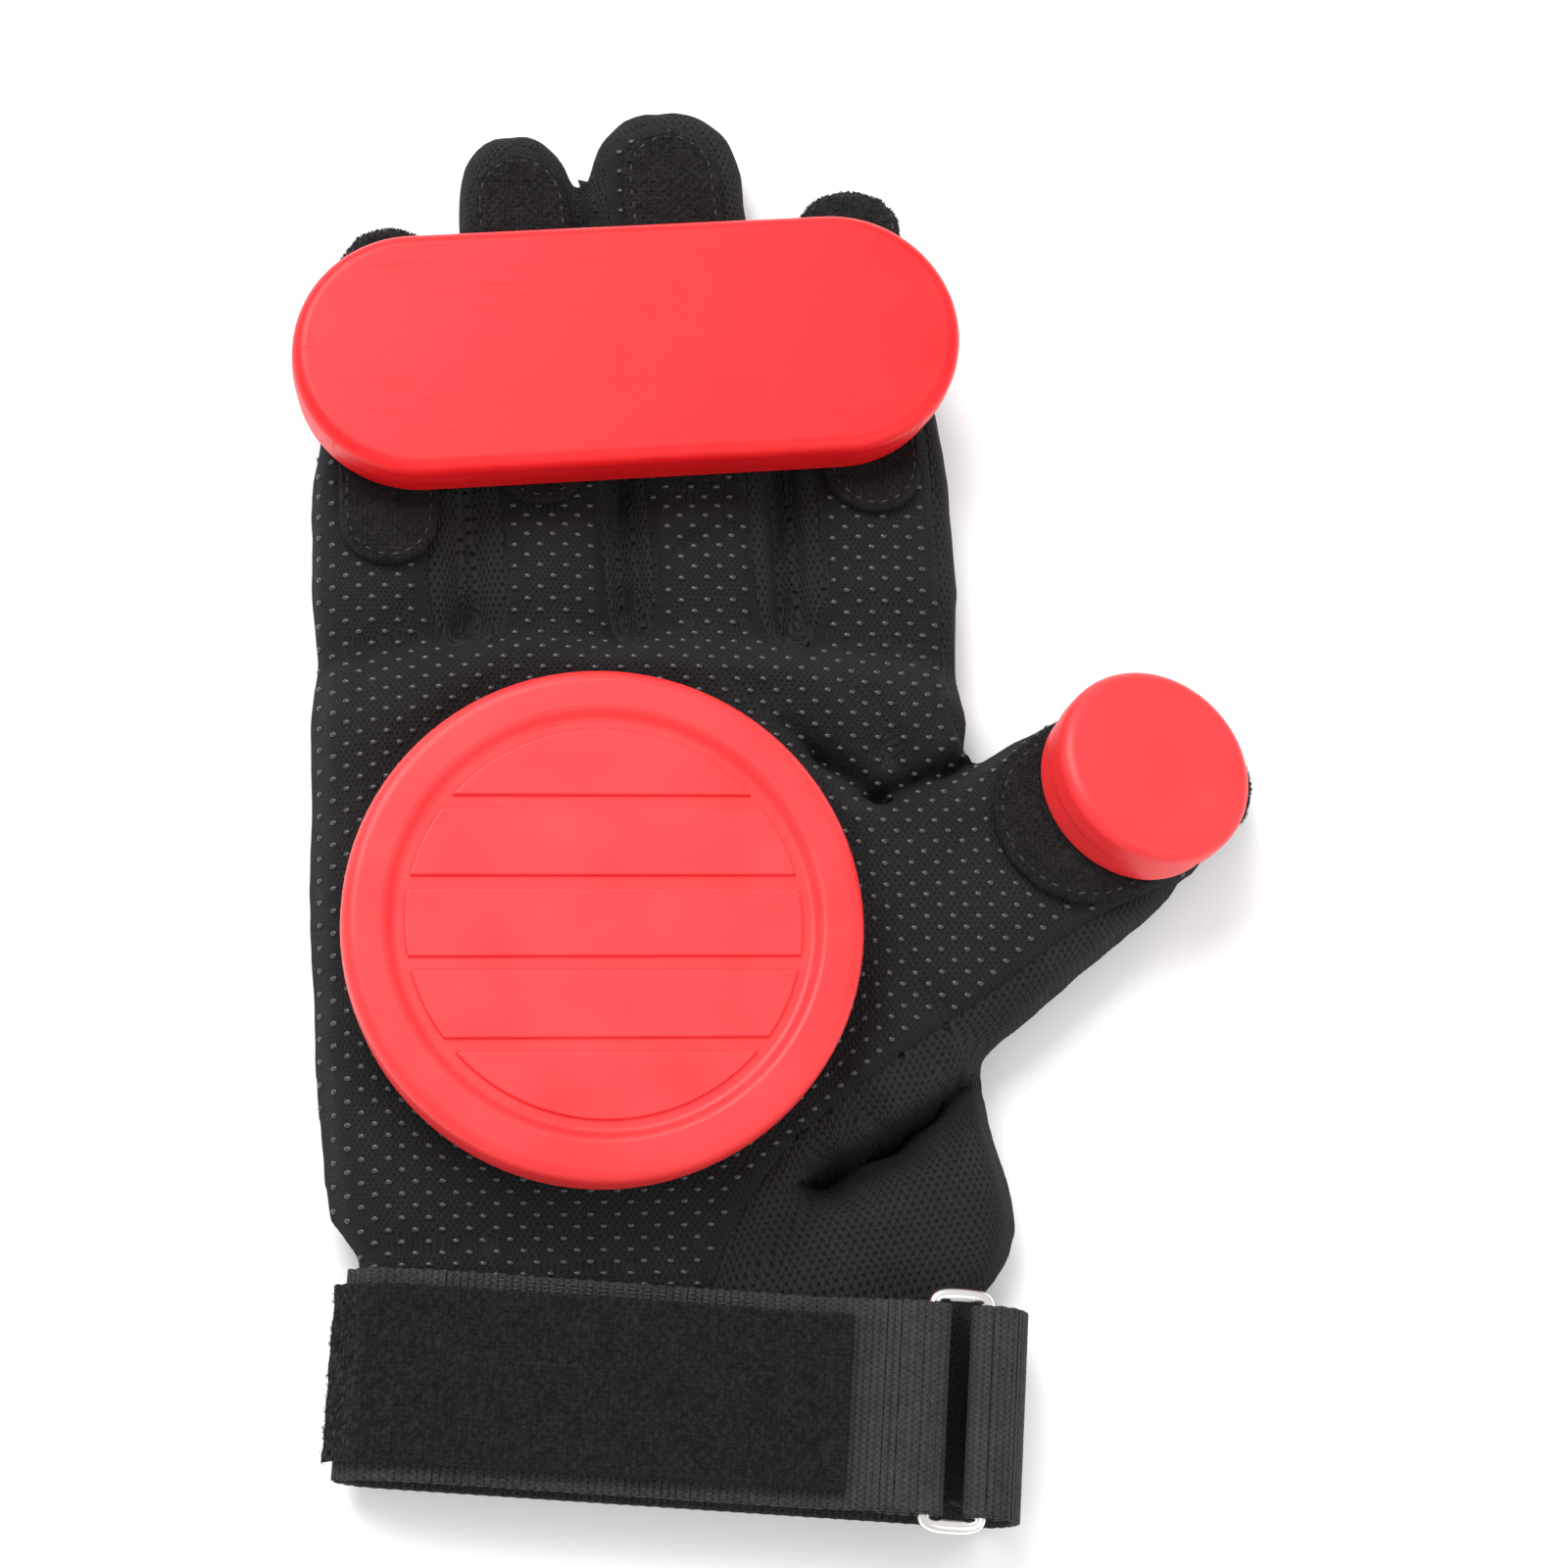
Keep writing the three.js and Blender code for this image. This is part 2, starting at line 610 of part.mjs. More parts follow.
// Pile patches lie on the cloth and take its shape. The little finger's, the index finger's and the
// thumb's run over the tip.
function pilePatches() {
  const layer = filledGlove(restGap + pileThick).subtract(filledGlove(restGap));
  const cut = (outline) => layer.intersect(prism(outline, seamHeight + seamGap, farAway));
  const round = new THREE.Path().absarc(0, 0, palmPileWidth / 2, 0, 2 * Math.PI)
    .getPoints(palmPileSteps);
  const patches = { palm_pile: cut(round.slice(0, -1)) };
  for (const finger of fingers) {
    const end = finger.length + (finger.wrapsTip ? fingerPileWidth : -fingerPileFromTip);
    patches[`${finger.name}_pile`] = cut(pileOutline(fingerPileWidth, finger.patchFrom * finger.length,
      end, 1, (across, along) => fromFinger(finger, across, along)));
  }
  patches.thumb_pile = cut(pileOutline(thumbPileWidth, thumbPileAlong, thumbLength + thumbPileWidth, 0,
    (across, along) => fromThumb(along, thumbPileAcross - across)));
  return patches;
}

// Points round a pill, or round a circle where it has no straight side.
function pillRing(straight, radius, z, steps) {
  const ring = [];
  for (const side of [1, -1])
    for (let i = 0; i <= steps; i++) {
      const turn = Math.PI * (i / steps - 0.5);
      if (straight === 0 && i === steps) continue;
      ring.push(new THREE.Vector3(side * (straight + radius * Math.cos(turn)),
        side * radius * Math.sin(turn), z));
    }
  return ring;
}

// A moulded puck: a lower tray, a parting step, straight sides and a rounded edge.
function puckRings(straight, radius, thick, steps) {
  const parting = thick * partingShare;
  const rings = [pillRing(straight, radius - partingStep - footRound, 0, steps),
    pillRing(straight, radius - partingStep, footRound, steps),
    pillRing(straight, radius - partingStep, parting, steps),
    pillRing(straight, radius, parting + partingStep, steps)];
  for (let i = 0; i <= 3; i++) {
    const turn = (Math.PI / 2) * (i / 3);
    rings.push(pillRing(straight, radius - edgeRound * (1 - Math.cos(turn)),
      thick - edgeRound * (1 - Math.sin(turn)), steps));
  }
  return rings;
}

// The plain wear bars in the palm puck's recess, standing on the recess's floor at 0: straight bars
// with ends that follow the recess's edge. Each is a bevelled strip cut to a bevelled disc.
function wearBars(radius) {
  const pitch = (2 * radius + wearBarGap) / wearBarCount;
  const levels = [{ z: -recessDepth, inset: 0 }, { z: wearBarHeight - wearBarBevel, inset: 0 },
    { z: wearBarHeight, inset: wearBarBevel }];
  const disc = outwards(loft(levels.map(({ z, inset }) => (
    pillRing(0, radius - inset, z, palmPuckSteps)))));
  return Array.from({ length: wearBarCount }, (_, row) => {
    const low = row * pitch - radius;
    const high = low + pitch - wearBarGap;
    const strip = loft(levels.map(({ z, inset }) => [
      new THREE.Vector3(-palmPuckWidth, low + inset, z), new THREE.Vector3(palmPuckWidth, low + inset, z),
      new THREE.Vector3(palmPuckWidth, high - inset, z), new THREE.Vector3(-palmPuckWidth, high - inset, z),
    ]));
    return outwards(strip).intersect(disc);
  });
}

function palmPuck() {
  const radius = palmPuckWidth / 2;
  const recess = radius - edgeRound - rimWidth;
  const floor = palmPuckThick - recessDepth;
  const rings = puckRings(0, radius, palmPuckThick, palmPuckSteps);
  rings.push(pillRing(0, recess + recessDepth, palmPuckThick, palmPuckSteps));
  rings.push(pillRing(0, recess, floor, palmPuckSteps));
  const bars = wearBars(recess - wearBarMargin).map((bar) => bar.translate(0, 0, floor));
  return wasm.Manifold.union([outwards(loft(rings)), ...bars]);
}

// A line of points moved sideways, to its left.
function besideLine(line, offset) {
  return line.map((point, i) => {
    const before = line[Math.max(i - 1, 0)];
    const after = line[Math.min(i + 1, line.length - 1)];
    const along = new THREE.Vector2().subVectors(after, before).normalize();
    return new THREE.Vector2(point.x - along.y * offset, point.y + along.x * offset);
  });
}

// A band of webbing bent along a line of points (across the wrist, up), as wide as given.
function band(line, thick, width) {
  const shape = new THREE.Shape([...besideLine(line, thick / 2),
    ...besideLine(line, -thick / 2).reverse()]);
  const geometry = new THREE.ExtrudeGeometry(shape, { depth: width, bevelEnabled: false });
  geometry.translate(0, 0, -width / 2);
  return toGeometry(toSolid(geometry.rotateX(Math.PI / 2)));
}

// The wrist's section grown by a distance, from its left side to a reach: over its top (side 1)
// or along its floor (side -1).
function wristLine(growth, reach, side) {
  const row = palmRows[0];
  const half = palmWidth / 2;
  const top = row.high * palmHeight;
  const bottom = strapLift - flattened;
  const tall = (top - bottom) / 2 + growth;
  const middle = (top + bottom) / 2;
  const shares = crossShares(palmTopSteps).slice(1).filter((share) => share * half * row.right < reach);
  const line = shares.map((share) => new THREE.Vector2(
    share * ((share < 0 ? row.left : row.right) * half + growth),
    Math.max(middle + side * tall * crown(share, palmPower), strapLift - growth)));
  return [new THREE.Vector2(-row.left * half - growth, middle + side * webbingThick), ...line];
}

// The turn of a band round one bar of the ring, from above the bar to its tail below.
function barTurn(barX, barZ, outward, tail) {
  const radius = ringWire / 2 + barPlay + webbingThick / 2;
  const line = [];
  for (let i = 0; i <= turnSteps; i++) {
    const turn = Math.PI * (0.5 - i / turnSteps);
    line.push(new THREE.Vector2(barX + outward * radius * Math.cos(turn), barZ + radius * Math.sin(turn)));
  }
  line.push(new THREE.Vector2(barX - outward * tail, barZ - radius));
  return line;
}

// The oval wire ring that the strap is drawn through.
function wireRing() {
  const path = [];
  for (const end of [1, -1])
    for (let i = 0; i <= turnSteps; i++) {
      const turn = Math.PI * (i / turnSteps);
      const across = Math.sign(Math.cos(turn)) * Math.abs(Math.cos(turn)) ** ringSquareness;
      path.push(new THREE.Vector3(end * across * ringBarSpacing / 2,
        end * (strapWidth / 2 + ringEndReach * Math.sin(turn) ** ringSquareness), 0));
    }
  const rings = path.map((point, i) => {
    const before = path[(i + path.length - 1) % path.length];
    const after = path[(i + 1) % path.length];
    const along = new THREE.Vector3().subVectors(after, before).normalize();
    const out = new THREE.Vector3(along.y, -along.x, 0);
    return Array.from({ length: wireSides }, (_, k) => {
      const turn = (2 * Math.PI * k) / wireSides;
      return point.clone().addScaledVector(out, ringWire / 2 * Math.cos(turn))
        .add(new THREE.Vector3(0, 0, ringWire / 2 * Math.sin(turn)));
    });
  });
  return toGeometry(outwards(loft(rings, true)));
}

// Finishes
const gripCloth = new THREE.MeshStandardMaterial({ color: 0x202022, roughness: 0.85 });
const meshCloth = new THREE.MeshStandardMaterial({ color: 0x1c1c1d, roughness: 0.9 });
const loopPile = new THREE.MeshStandardMaterial({ color: 0x141314, roughness: 1 });
const wovenTape = new THREE.MeshStandardMaterial({ color: 0x262628, roughness: 0.85 });
const redPlastic = new THREE.MeshStandardMaterial({ color: 0xe01b22, roughness: 0.45 });
const steelWire = new THREE.MeshStandardMaterial({ color: 0xc9c9cc, roughness: 0.2, metalness: 1 });

const glove = new THREE.Group();
function addMesh(parent, name, geometry, material) {
  const mesh = new THREE.Mesh(geometry, material);
  mesh.name = name;
  parent.add(mesh);
  return mesh;
}

const panelFinish = (name) => (name === 'palm_panel' ? gripCloth : meshCloth);
for (const [name, solid] of Object.entries(sewnPanels()))
  addMesh(glove, name, toGeometry(solid), panelFinish(name));
for (const [name, solid] of Object.entries(pilePatches()))
  addMesh(glove, name, toGeometry(solid), loopPile);

// Each puck stands on its patch, in the axes of its seat.
const patchTop = restGap + pileThick + restGap;
function addPuck(seat, name, solid) {
  const puck = addMesh(seat, name, toGeometry(solid), redPlastic);
  puck.position.z = patchTop;
  glove.add(seat);
}
const plainPuck = ({ straight, radius }, thick) => outwards(loft(
  puckRings(straight, radius, thick, puckSteps)));
addPuck(palmSeat, 'palm_puck', palmPuck());
addPuck(fingerSeat, 'finger_puck', plainPuck(fingerSeat.userData, fingerPuckThick));
addPuck(thumbSeat, 'thumb_puck', plainPuck(thumbSeat.userData, thumbPuckThick));

// The wrist strap lies in its own axes: across the wrist, along the hand and up.
const wrist = new THREE.Group();
wrist.position.set(handAxisX, strapY, 0);
wrist.rotation.z = rad(strapTurn);
glove.add(wrist);

const tapeGrowth = restGap + webbingThick / 2;
const turnRadius = ringWire / 2 + barPlay + webbingThick / 2;
const ringHeight = palmRows[0].high * palmHeight + tapeGrowth + turnRadius;
const nearBar = ringReach - ringBarSpacing / 2;
const farBar = ringReach + ringBarSpacing / 2;

// The sewn tape runs over the palm side of the wrist, climbs over its own tail and turns round the
// ring's near bar.
const climbFrom = nearBar - tapeTail - strapTail;
const tapeOver = wristLine(tapeGrowth, climbFrom, 1);
const climbEnd = new THREE.Vector2(nearBar - tapeTail / 2, ringHeight + turnRadius);
const climbShare = (cuffPileReach - climbFrom) / (climbEnd.x - climbFrom);
const pileEnd = tapeOver[tapeOver.length - 1].clone().lerp(climbEnd, climbShare);
addMesh(wrist, 'wrist_tape', band([...tapeOver, pileEnd, climbEnd,
  ...barTurn(nearBar, ringHeight, 1, tapeTail)], webbingThick, strapWidth), wovenTape);

// Loop pile on the tape, which takes the hook end when the strap is closed.
const pileOffset = webbingThick / 2 + restGap + cuffPileThick / 2;
addMesh(wrist, 'wrist_pile', band(besideLine([...tapeOver, pileEnd], pileOffset),
  cuffPileThick, cuffPileWidth), loopPile);

// The closing strap comes from the little-finger side, under the back of the wrist, folds up
// outside the thumb side and turns round the ring's far bar.
const foldRadius = (ringHeight + turnRadius - webbingThick / 2) / 2;
const foldLine = [];
for (let i = 0; i <= foldSteps; i++) {
  const turn = Math.PI * (i / foldSteps - 0.5);
  foldLine.push(new THREE.Vector2(farBar + webbingThick + foldWidth * Math.cos(turn),
    webbingThick / 2 + foldRadius * (1 + Math.sin(turn))));
}
addMesh(wrist, 'closing_strap', band([...wristLine(tapeGrowth, nearBar, -1), ...foldLine,
  ...barTurn(farBar, ringHeight, -1, strapTail)], webbingThick, strapWidth), wovenTape);

const ringMesh = addMesh(wrist, 'strap_ring', wireRing(), steelWire);
ringMesh.position.set(ringReach, 0, ringHeight);

export default glove;
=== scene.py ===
# %% [markdown]
# A slide glove saves a longboard rider's hand when it is put down on the road at speed. It lies
# here palm up: a sewn glove, three moulded pucks held on loop pile, and a wrist strap.
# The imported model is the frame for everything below. Each piece is made where its node is, and then
# stands for that node.

# %% Load the frame
import json
import math

import bmesh
import bpy
import numpy as np
from mathutils import Matrix, Vector, geometry, noise
from mathutils.bvhtree import BVHTree

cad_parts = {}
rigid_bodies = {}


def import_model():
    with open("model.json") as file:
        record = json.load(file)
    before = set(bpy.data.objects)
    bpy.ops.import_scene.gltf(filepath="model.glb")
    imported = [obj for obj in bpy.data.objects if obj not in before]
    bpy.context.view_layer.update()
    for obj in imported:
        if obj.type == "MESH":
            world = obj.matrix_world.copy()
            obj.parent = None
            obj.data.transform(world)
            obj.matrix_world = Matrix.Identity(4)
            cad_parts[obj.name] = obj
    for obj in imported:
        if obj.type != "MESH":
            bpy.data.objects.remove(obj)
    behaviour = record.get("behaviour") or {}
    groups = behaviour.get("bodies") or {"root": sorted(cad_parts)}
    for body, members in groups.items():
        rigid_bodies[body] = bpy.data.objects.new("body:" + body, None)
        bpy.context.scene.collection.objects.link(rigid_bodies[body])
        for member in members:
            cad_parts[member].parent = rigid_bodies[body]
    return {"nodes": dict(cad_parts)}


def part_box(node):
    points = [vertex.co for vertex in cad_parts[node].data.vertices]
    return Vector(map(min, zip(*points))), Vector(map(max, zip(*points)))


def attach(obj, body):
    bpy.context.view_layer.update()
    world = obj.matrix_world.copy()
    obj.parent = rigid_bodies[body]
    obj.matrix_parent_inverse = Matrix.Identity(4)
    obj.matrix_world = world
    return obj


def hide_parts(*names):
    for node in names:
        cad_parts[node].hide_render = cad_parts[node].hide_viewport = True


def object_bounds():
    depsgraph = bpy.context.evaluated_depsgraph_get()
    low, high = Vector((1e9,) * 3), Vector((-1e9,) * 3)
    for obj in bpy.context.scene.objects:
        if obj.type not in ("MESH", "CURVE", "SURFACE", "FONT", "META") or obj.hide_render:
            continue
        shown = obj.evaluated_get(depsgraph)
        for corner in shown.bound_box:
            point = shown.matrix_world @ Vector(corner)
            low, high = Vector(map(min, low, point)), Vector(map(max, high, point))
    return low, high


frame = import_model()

MM = 0.001
scene = bpy.context.scene
cad_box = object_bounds()


def add_object(name, data):
    made = bpy.data.objects.new(name, data)
    scene.collection.objects.link(made)
    return made


def mesh_from(name, made):
    """A bmesh as a mesh; the bmesh itself is let go."""
    mesh = bpy.data.meshes.new(name)
    made.to_mesh(mesh)
    made.free()
    return mesh


print("CAD box in mm:", [round(side / MM, 1) for side in cad_box[1] - cad_box[0]])

# %% [markdown]
# The photograph looks down on the glove, 13 degrees off the vertical, from above a spot to the left
# of it. The camera keeps that place, so overlaps and foreshortening come out alike, and only turns
# to the glove. Its up direction is kept too, because a camera that looks down has no natural one.

# %% Camera
PHOTO_TILT = math.radians(13)
PHOTO_DISTANCE = 772.5 * MM
PHOTO_MIDDLE = Vector((-61.98, 15.37, 0)) * MM
LENS = 99

upwards = Vector((0, math.cos(PHOTO_TILT), math.sin(PHOTO_TILT)))
backwards = Vector((0, -math.sin(PHOTO_TILT), math.cos(PHOTO_TILT)))
camera = add_object("camera", bpy.data.cameras.new("camera"))
camera.data.lens = LENS
camera.data.sensor_width = 36
camera.location = PHOTO_MIDDLE + backwards * PHOTO_DISTANCE
target = (cad_box[0] + cad_box[1]) / 2
away = (camera.location - target).normalized()
sideways = upwards.cross(away).normalized()
turn = Matrix((sideways, away.cross(sideways), away)).transposed()
camera.matrix_world = Matrix.Translation(camera.location) @ turn.to_4x4()
scene.camera = camera
print("camera at", [round(x, 3) for x in camera.location])

# %% [markdown]
# Product photographs of dark cloth use a wide soft source and a bright surround, so that folds show
# as gentle steps and not as hard shadows. One large area light stands behind the fingertips, a
# weaker one fills from the wrist, and the world gives the rest.

# %% Light and floor
def add_light(name, place, size, power):
    lamp = bpy.data.lights.new(name, "AREA")
    lamp.size = size
    lamp.energy = power
    holder = add_object(name, lamp)
    holder.location = place
    holder.rotation_euler = (target - Vector(place)).to_track_quat("-Z", "Y").to_euler()


add_light("soft_key", (-0.45, 0.75, 1.1), 0.9, 21)
add_light("soft_fill", (0.7, -0.6, 1.0), 1.2, 5)
world = bpy.data.worlds.new("studio")
world.use_nodes = True
world.node_tree.nodes["Background"].inputs["Color"].default_value = (1, 1, 1, 1)
world.node_tree.nodes["Background"].inputs["Strength"].default_value = 0.86
scene.world = world
scene.view_settings.view_transform = "Standard"


def principled(name):
    made = bpy.data.materials.new(name)
    made.use_nodes = True
    return made, made.node_tree, made.node_tree.nodes["Principled BSDF"]


floor_finish, _, floor_shader = principled("pale_floor")
floor_shader.inputs["Base Color"].default_value = (0.93, 0.93, 0.93, 1)
floor_shader.inputs["Roughness"].default_value = 0.7
sheet = bmesh.new()
bmesh.ops.create_grid(sheet, x_segments=1, y_segments=1, size=3)
floor = add_object("floor", mesh_from("floor", sheet))
floor.data.materials.append(floor_finish)
print("lights and floor made")

# %% [markdown]
# A material is a small chain of nodes. A few helpers keep the chains short: they add a node and feed
# its sockets, scale a value, mix two colours, add a bump, or start a shader node group. A group puts
# out only values that change over the surface, and the shader itself stays in each material.

# %% Node helpers
def feed(tree, socket, value):
    if isinstance(value, bpy.types.NodeSocket):
        tree.links.new(value, socket)
    else:
        socket.default_value = value


def add_node(tree, kind, inputs=(), **settings):
    node = tree.nodes.new(kind)
    for name, value in settings.items():
        setattr(node, name, value)
    for socket, value in dict(inputs).items():
        feed(tree, node.inputs[socket], value)
    return node


def calculate(tree, operation, *values):
    node = tree.nodes.new("ShaderNodeMath")
    node.operation = operation
    for socket, value in zip(node.inputs, values):
        feed(tree, socket, value)
    return node.outputs[0]


def ramp(tree, value, slope, start):
    return calculate(tree, "MULTIPLY_ADD", value, slope, start)


def mixed(tree, factor, dark, light):
    """A colour that goes from dark to light with the factor."""
    node = add_node(tree, "ShaderNodeMix", {"Factor": factor}, data_type="RGBA")
    node.inputs[6].default_value = (*dark, 1)
    node.inputs[7].default_value = (*light, 1)
    return node.outputs[2]


def roughen(tree, shader, height, strength, distance):
    bump = add_node(tree, "ShaderNodeBump", {"Height": height, "Strength": strength, "Distance": distance})
    feed(tree, shader.inputs["Normal"], bump.outputs["Normal"])


def start_group(name, inputs, outputs):
    group = bpy.data.node_groups.new(name, "ShaderNodeTree")
    for label, kind in inputs:
        group.interface.new_socket(label, in_out="INPUT", socket_type=kind)
    for label in outputs:
        group.interface.new_socket(label, in_out="OUTPUT", socket_type="NodeSocketFloat")
    return group, group.nodes.new("NodeGroupInput").outputs, group.nodes.new("NodeGroupOutput").inputs


def place_group(tree, group, inputs):
    node = tree.nodes.new("ShaderNodeGroup")
    node.node_tree = group
    for socket, value in inputs.items():
        feed(tree, node.inputs[socket], value)
    return node.outputs


print("node helpers ready")

# %% [markdown]
# Knitted mesh shows small holes in staggered columns. Two crossed sine waves give a staggered
# field of lobes, and its peaks become the holes. The pattern reads the piece's own cloth map, which
# is in millimetres and runs down the sides, so it follows the cloth like a real knit.

# %% Knit group
knit, knit_in, knit_out = start_group(
    "knit", [("Cloth", "NodeSocketVector"), ("Across", "NodeSocketFloat"), ("Along", "NodeSocketFloat")],
    ["Height", "Hole"])
apart = add_node(knit, "ShaderNodeSeparateXYZ", {"Vector": knit_in["Cloth"]})


def knit_wave(place, half_wave):
    turns = calculate(knit, "DIVIDE", place, half_wave)
    return calculate(knit, "SINE", calculate(knit, "MULTIPLY", turns, math.pi))


columns = knit_wave(apart.outputs["X"], knit_in["Across"])
courses = knit_wave(apart.outputs["Y"], knit_in["Along"])
lobes = calculate(knit, "MULTIPLY", columns, courses)
hole = add_node(knit, "ShaderNodeMapRange", {"Value": lobes, "From Min": 0.35, "From Max": 0.85})
feed(knit, knit_out["Hole"], hole.outputs["Result"])
feed(knit, knit_out["Height"], calculate(
    knit, "SUBTRACT", calculate(knit, "ABSOLUTE", columns), hole.outputs["Result"]))
print("knit group made")

# %% [markdown]
# No real surface is one even colour. This group mixes a broad and a fine noise, and each finish
# uses it with its own sizes: lint and pressed patches on cloth, flow marks and haze on plastic.

# %% Uneven group
uneven, uneven_in, uneven_out = start_group(
    "uneven", [("Broad Size", "NodeSocketFloat"), ("Fine Size", "NodeSocketFloat")], ["Broad", "Fine"])
spot = add_node(uneven, "ShaderNodeTexCoord")
for label, detail in (("Broad", 2), ("Fine", 4)):
    scale = calculate(uneven, "DIVIDE", 1 / MM, uneven_in[f"{label} Size"])
    patches = add_node(uneven, "ShaderNodeTexNoise",
                       {"Vector": spot.outputs["Object"], "Scale": scale, "Detail": detail})
    feed(uneven, uneven_out[label], patches.outputs["Fac"])
print("uneven group made")

# %% [markdown]
# All the cloths share one recipe: a knit, some unevenness, a bump and a little sheen. They differ in
# colour, in the size of the knit and in how open it is. An attribute named "crease" holds how deep
# the creases sink the cloth, and it darkens the base colour there: painted shade in the creases.

# %% Cloth finishes
# How far the painted shade darkens the base colour at the bottom of a crease.
CREASE_PAINTED_SHADE = 0.8


def cloth_finish(name, dark, light, across, along, depth, openness, sheen, broad=14, fine=0.5):
    made, tree, shader = principled(name)
    cloth = add_node(tree, "ShaderNodeUVMap", uv_map="cloth")
    weave = place_group(tree, knit, {"Cloth": cloth.outputs["UV"], "Across": across, "Along": along})
    grain = place_group(tree, uneven, {"Broad Size": broad, "Fine Size": fine})
    tone = ramp(tree, grain["Broad"], 0.45, ramp(tree, grain["Fine"], 0.75, -0.1))
    worn = mixed(tree, tone, dark, light)
    # Painted shade: the crease attribute darkens the base colour where the creases sink the cloth.
    crease = add_node(tree, "ShaderNodeAttribute", attribute_name="crease")
    painted_crease_shade = ramp(tree, crease.outputs["Fac"], -CREASE_PAINTED_SHADE, 1)
    shade = calculate(tree, "MULTIPLY", painted_crease_shade, ramp(tree, weave["Hole"], -openness, 1))
    deep = add_node(tree, "ShaderNodeVectorMath", {0: worn}, operation="SCALE")
    feed(tree, deep.inputs["Scale"], shade)
    feed(tree, shader.inputs["Base Color"], deep.outputs["Vector"])
    feed(tree, shader.inputs["Roughness"], ramp(tree, grain["Fine"], 0.2, 0.7))
    height = ramp(tree, grain["Fine"], 0.6, weave["Height"])
    roughen(tree, shader, height, 1, depth * MM)
    shader.inputs["Sheen Weight"].default_value = sheen
    shader.inputs["Sheen Roughness"].default_value = 0.5
    shader.inputs["Specular IOR Level"].default_value = 0.14
    return made


grip_cloth = cloth_finish("grip_cloth", (0.006, 0.006, 0.0065), (0.024, 0.0235, 0.0245),
                          0.6, 0.9, 0.25, 0.6, 0.02)
mesh_cloth = cloth_finish("mesh_cloth", (0.007, 0.0068, 0.0068), (0.035, 0.0335, 0.033),
                          0.8, 1.3, 0.45, 0.85, 0.02)
loop_pile = cloth_finish("loop_pile", (0.003, 0.0026, 0.0026), (0.022, 0.019, 0.019),
                         0.9, 0.9, 0.35, 0.1, 0.03, 5, 0.5)
webbing = cloth_finish("webbing", (0.004, 0.004, 0.0045), (0.066, 0.066, 0.068),
                       0.35, 0.5, 0.15, 0.5, 0.03, 6, 0.9)
print("cloth finishes made")

# %% [markdown]
# The grip dots are printed silicone: the same charcoal as the cloth, but glossy, so each one catches
# a small highlight. Thread is a little lighter than the cloth that it holds.

# %% Small plain finishes
def plain_finish(name, colour, roughness, variation=0.25, metallic=0.0):
    made, tree, shader = principled(name)
    grain = place_group(tree, uneven, {"Broad Size": 9, "Fine Size": 0.8})
    tone = add_node(tree, "ShaderNodeVectorMath", operation="SCALE")
    tone.inputs[0].default_value = colour
    feed(tree, tone.inputs["Scale"], ramp(tree, grain["Broad"], 2 * variation, 1 - variation))
    feed(tree, shader.inputs["Base Color"], tone.outputs["Vector"])
    dull = ramp(tree, grain["Fine"], roughness * 0.5, roughness * 0.75)
    feed(tree, shader.inputs["Roughness"], dull)
    shader.inputs["Metallic"].default_value = metallic
    return made


grip_dot = plain_finish("grip_dot", (0.03, 0.03, 0.033), 0.2)
thread = plain_finish("thread", (0.028, 0.028, 0.03), 0.7)
ring_wire = plain_finish("ring_wire", (0.78, 0.76, 0.72), 0.2, 0.06, 1.0)
print("dot, thread and wire finishes made")

# %% [markdown]
# The pucks are one bright red plastic with a satin skin. Handling leaves hazy patches and a few fine
# scuffs that are duller than the rest, so noise drives the roughness more than the colour. The round
# pucks are rubbed a little paler than the long one.

# %% Red plastic
SCUFF_TURN = math.radians(38)
SCUFF_SCALE = (60, 900, 60)
SCUFF_DEPTH = 0.03 * MM


def red_finish(name, dark, light):
    made, tree, shader = principled(name)
    haze = place_group(tree, uneven, {"Broad Size": 16, "Fine Size": 1.2})
    spot = add_node(tree, "ShaderNodeTexCoord")
    stretched = add_node(tree, "ShaderNodeMapping", {"Vector": spot.outputs["Object"]})
    stretched.inputs["Rotation"].default_value = (0, 0, SCUFF_TURN)
    stretched.inputs["Scale"].default_value = SCUFF_SCALE
    scratches = add_node(tree, "ShaderNodeTexNoise",
                         {"Vector": stretched.outputs["Vector"], "Scale": 1.0, "Detail": 3})
    scuffed = add_node(tree, "ShaderNodeMapRange",
                       {"Value": scratches.outputs["Fac"], "From Min": 0.62, "From Max": 0.75})
    feed(tree, shader.inputs["Base Color"], mixed(tree, haze["Broad"], dark, light))
    dull = ramp(tree, haze["Broad"], 0.22, 0.3)
    feed(tree, shader.inputs["Roughness"], ramp(tree, scuffed.outputs["Result"], 0.15, dull))
    height = ramp(tree, scuffed.outputs["Result"], -0.5, haze["Fine"])
    roughen(tree, shader, height, 0.5, SCUFF_DEPTH)
    shader.inputs["Specular IOR Level"].default_value = 0.32
    return made


red_plastic = red_finish("red_plastic", (0.69, 0.005, 0.01), (0.84, 0.014, 0.016))
rubbed_red = red_finish("rubbed_red_plastic", (0.72, 0.022, 0.025), (0.86, 0.045, 0.047))
print("red plastics made")

# %% [markdown]
# Helpers for meshes. A CAD node's mesh is loose triangles, so a copy of it is merged before it is
# used. Every finished piece keeps its object at the origin, rides on the one body and hides the
# nodes that it stands for.

# %% Mesh helpers
WELD = 0.001 * MM


def merged_copy(*names):
    made = bmesh.new()
    for name in names:
        made.from_mesh(frame["nodes"][name].data)
    bmesh.ops.remove_doubles(made, verts=made.verts, dist=WELD)
    made.normal_update()
    return made


def tree_of(*names):
    made = merged_copy(*names)
    tree = BVHTree.FromBMesh(made)
    made.free()
    return tree


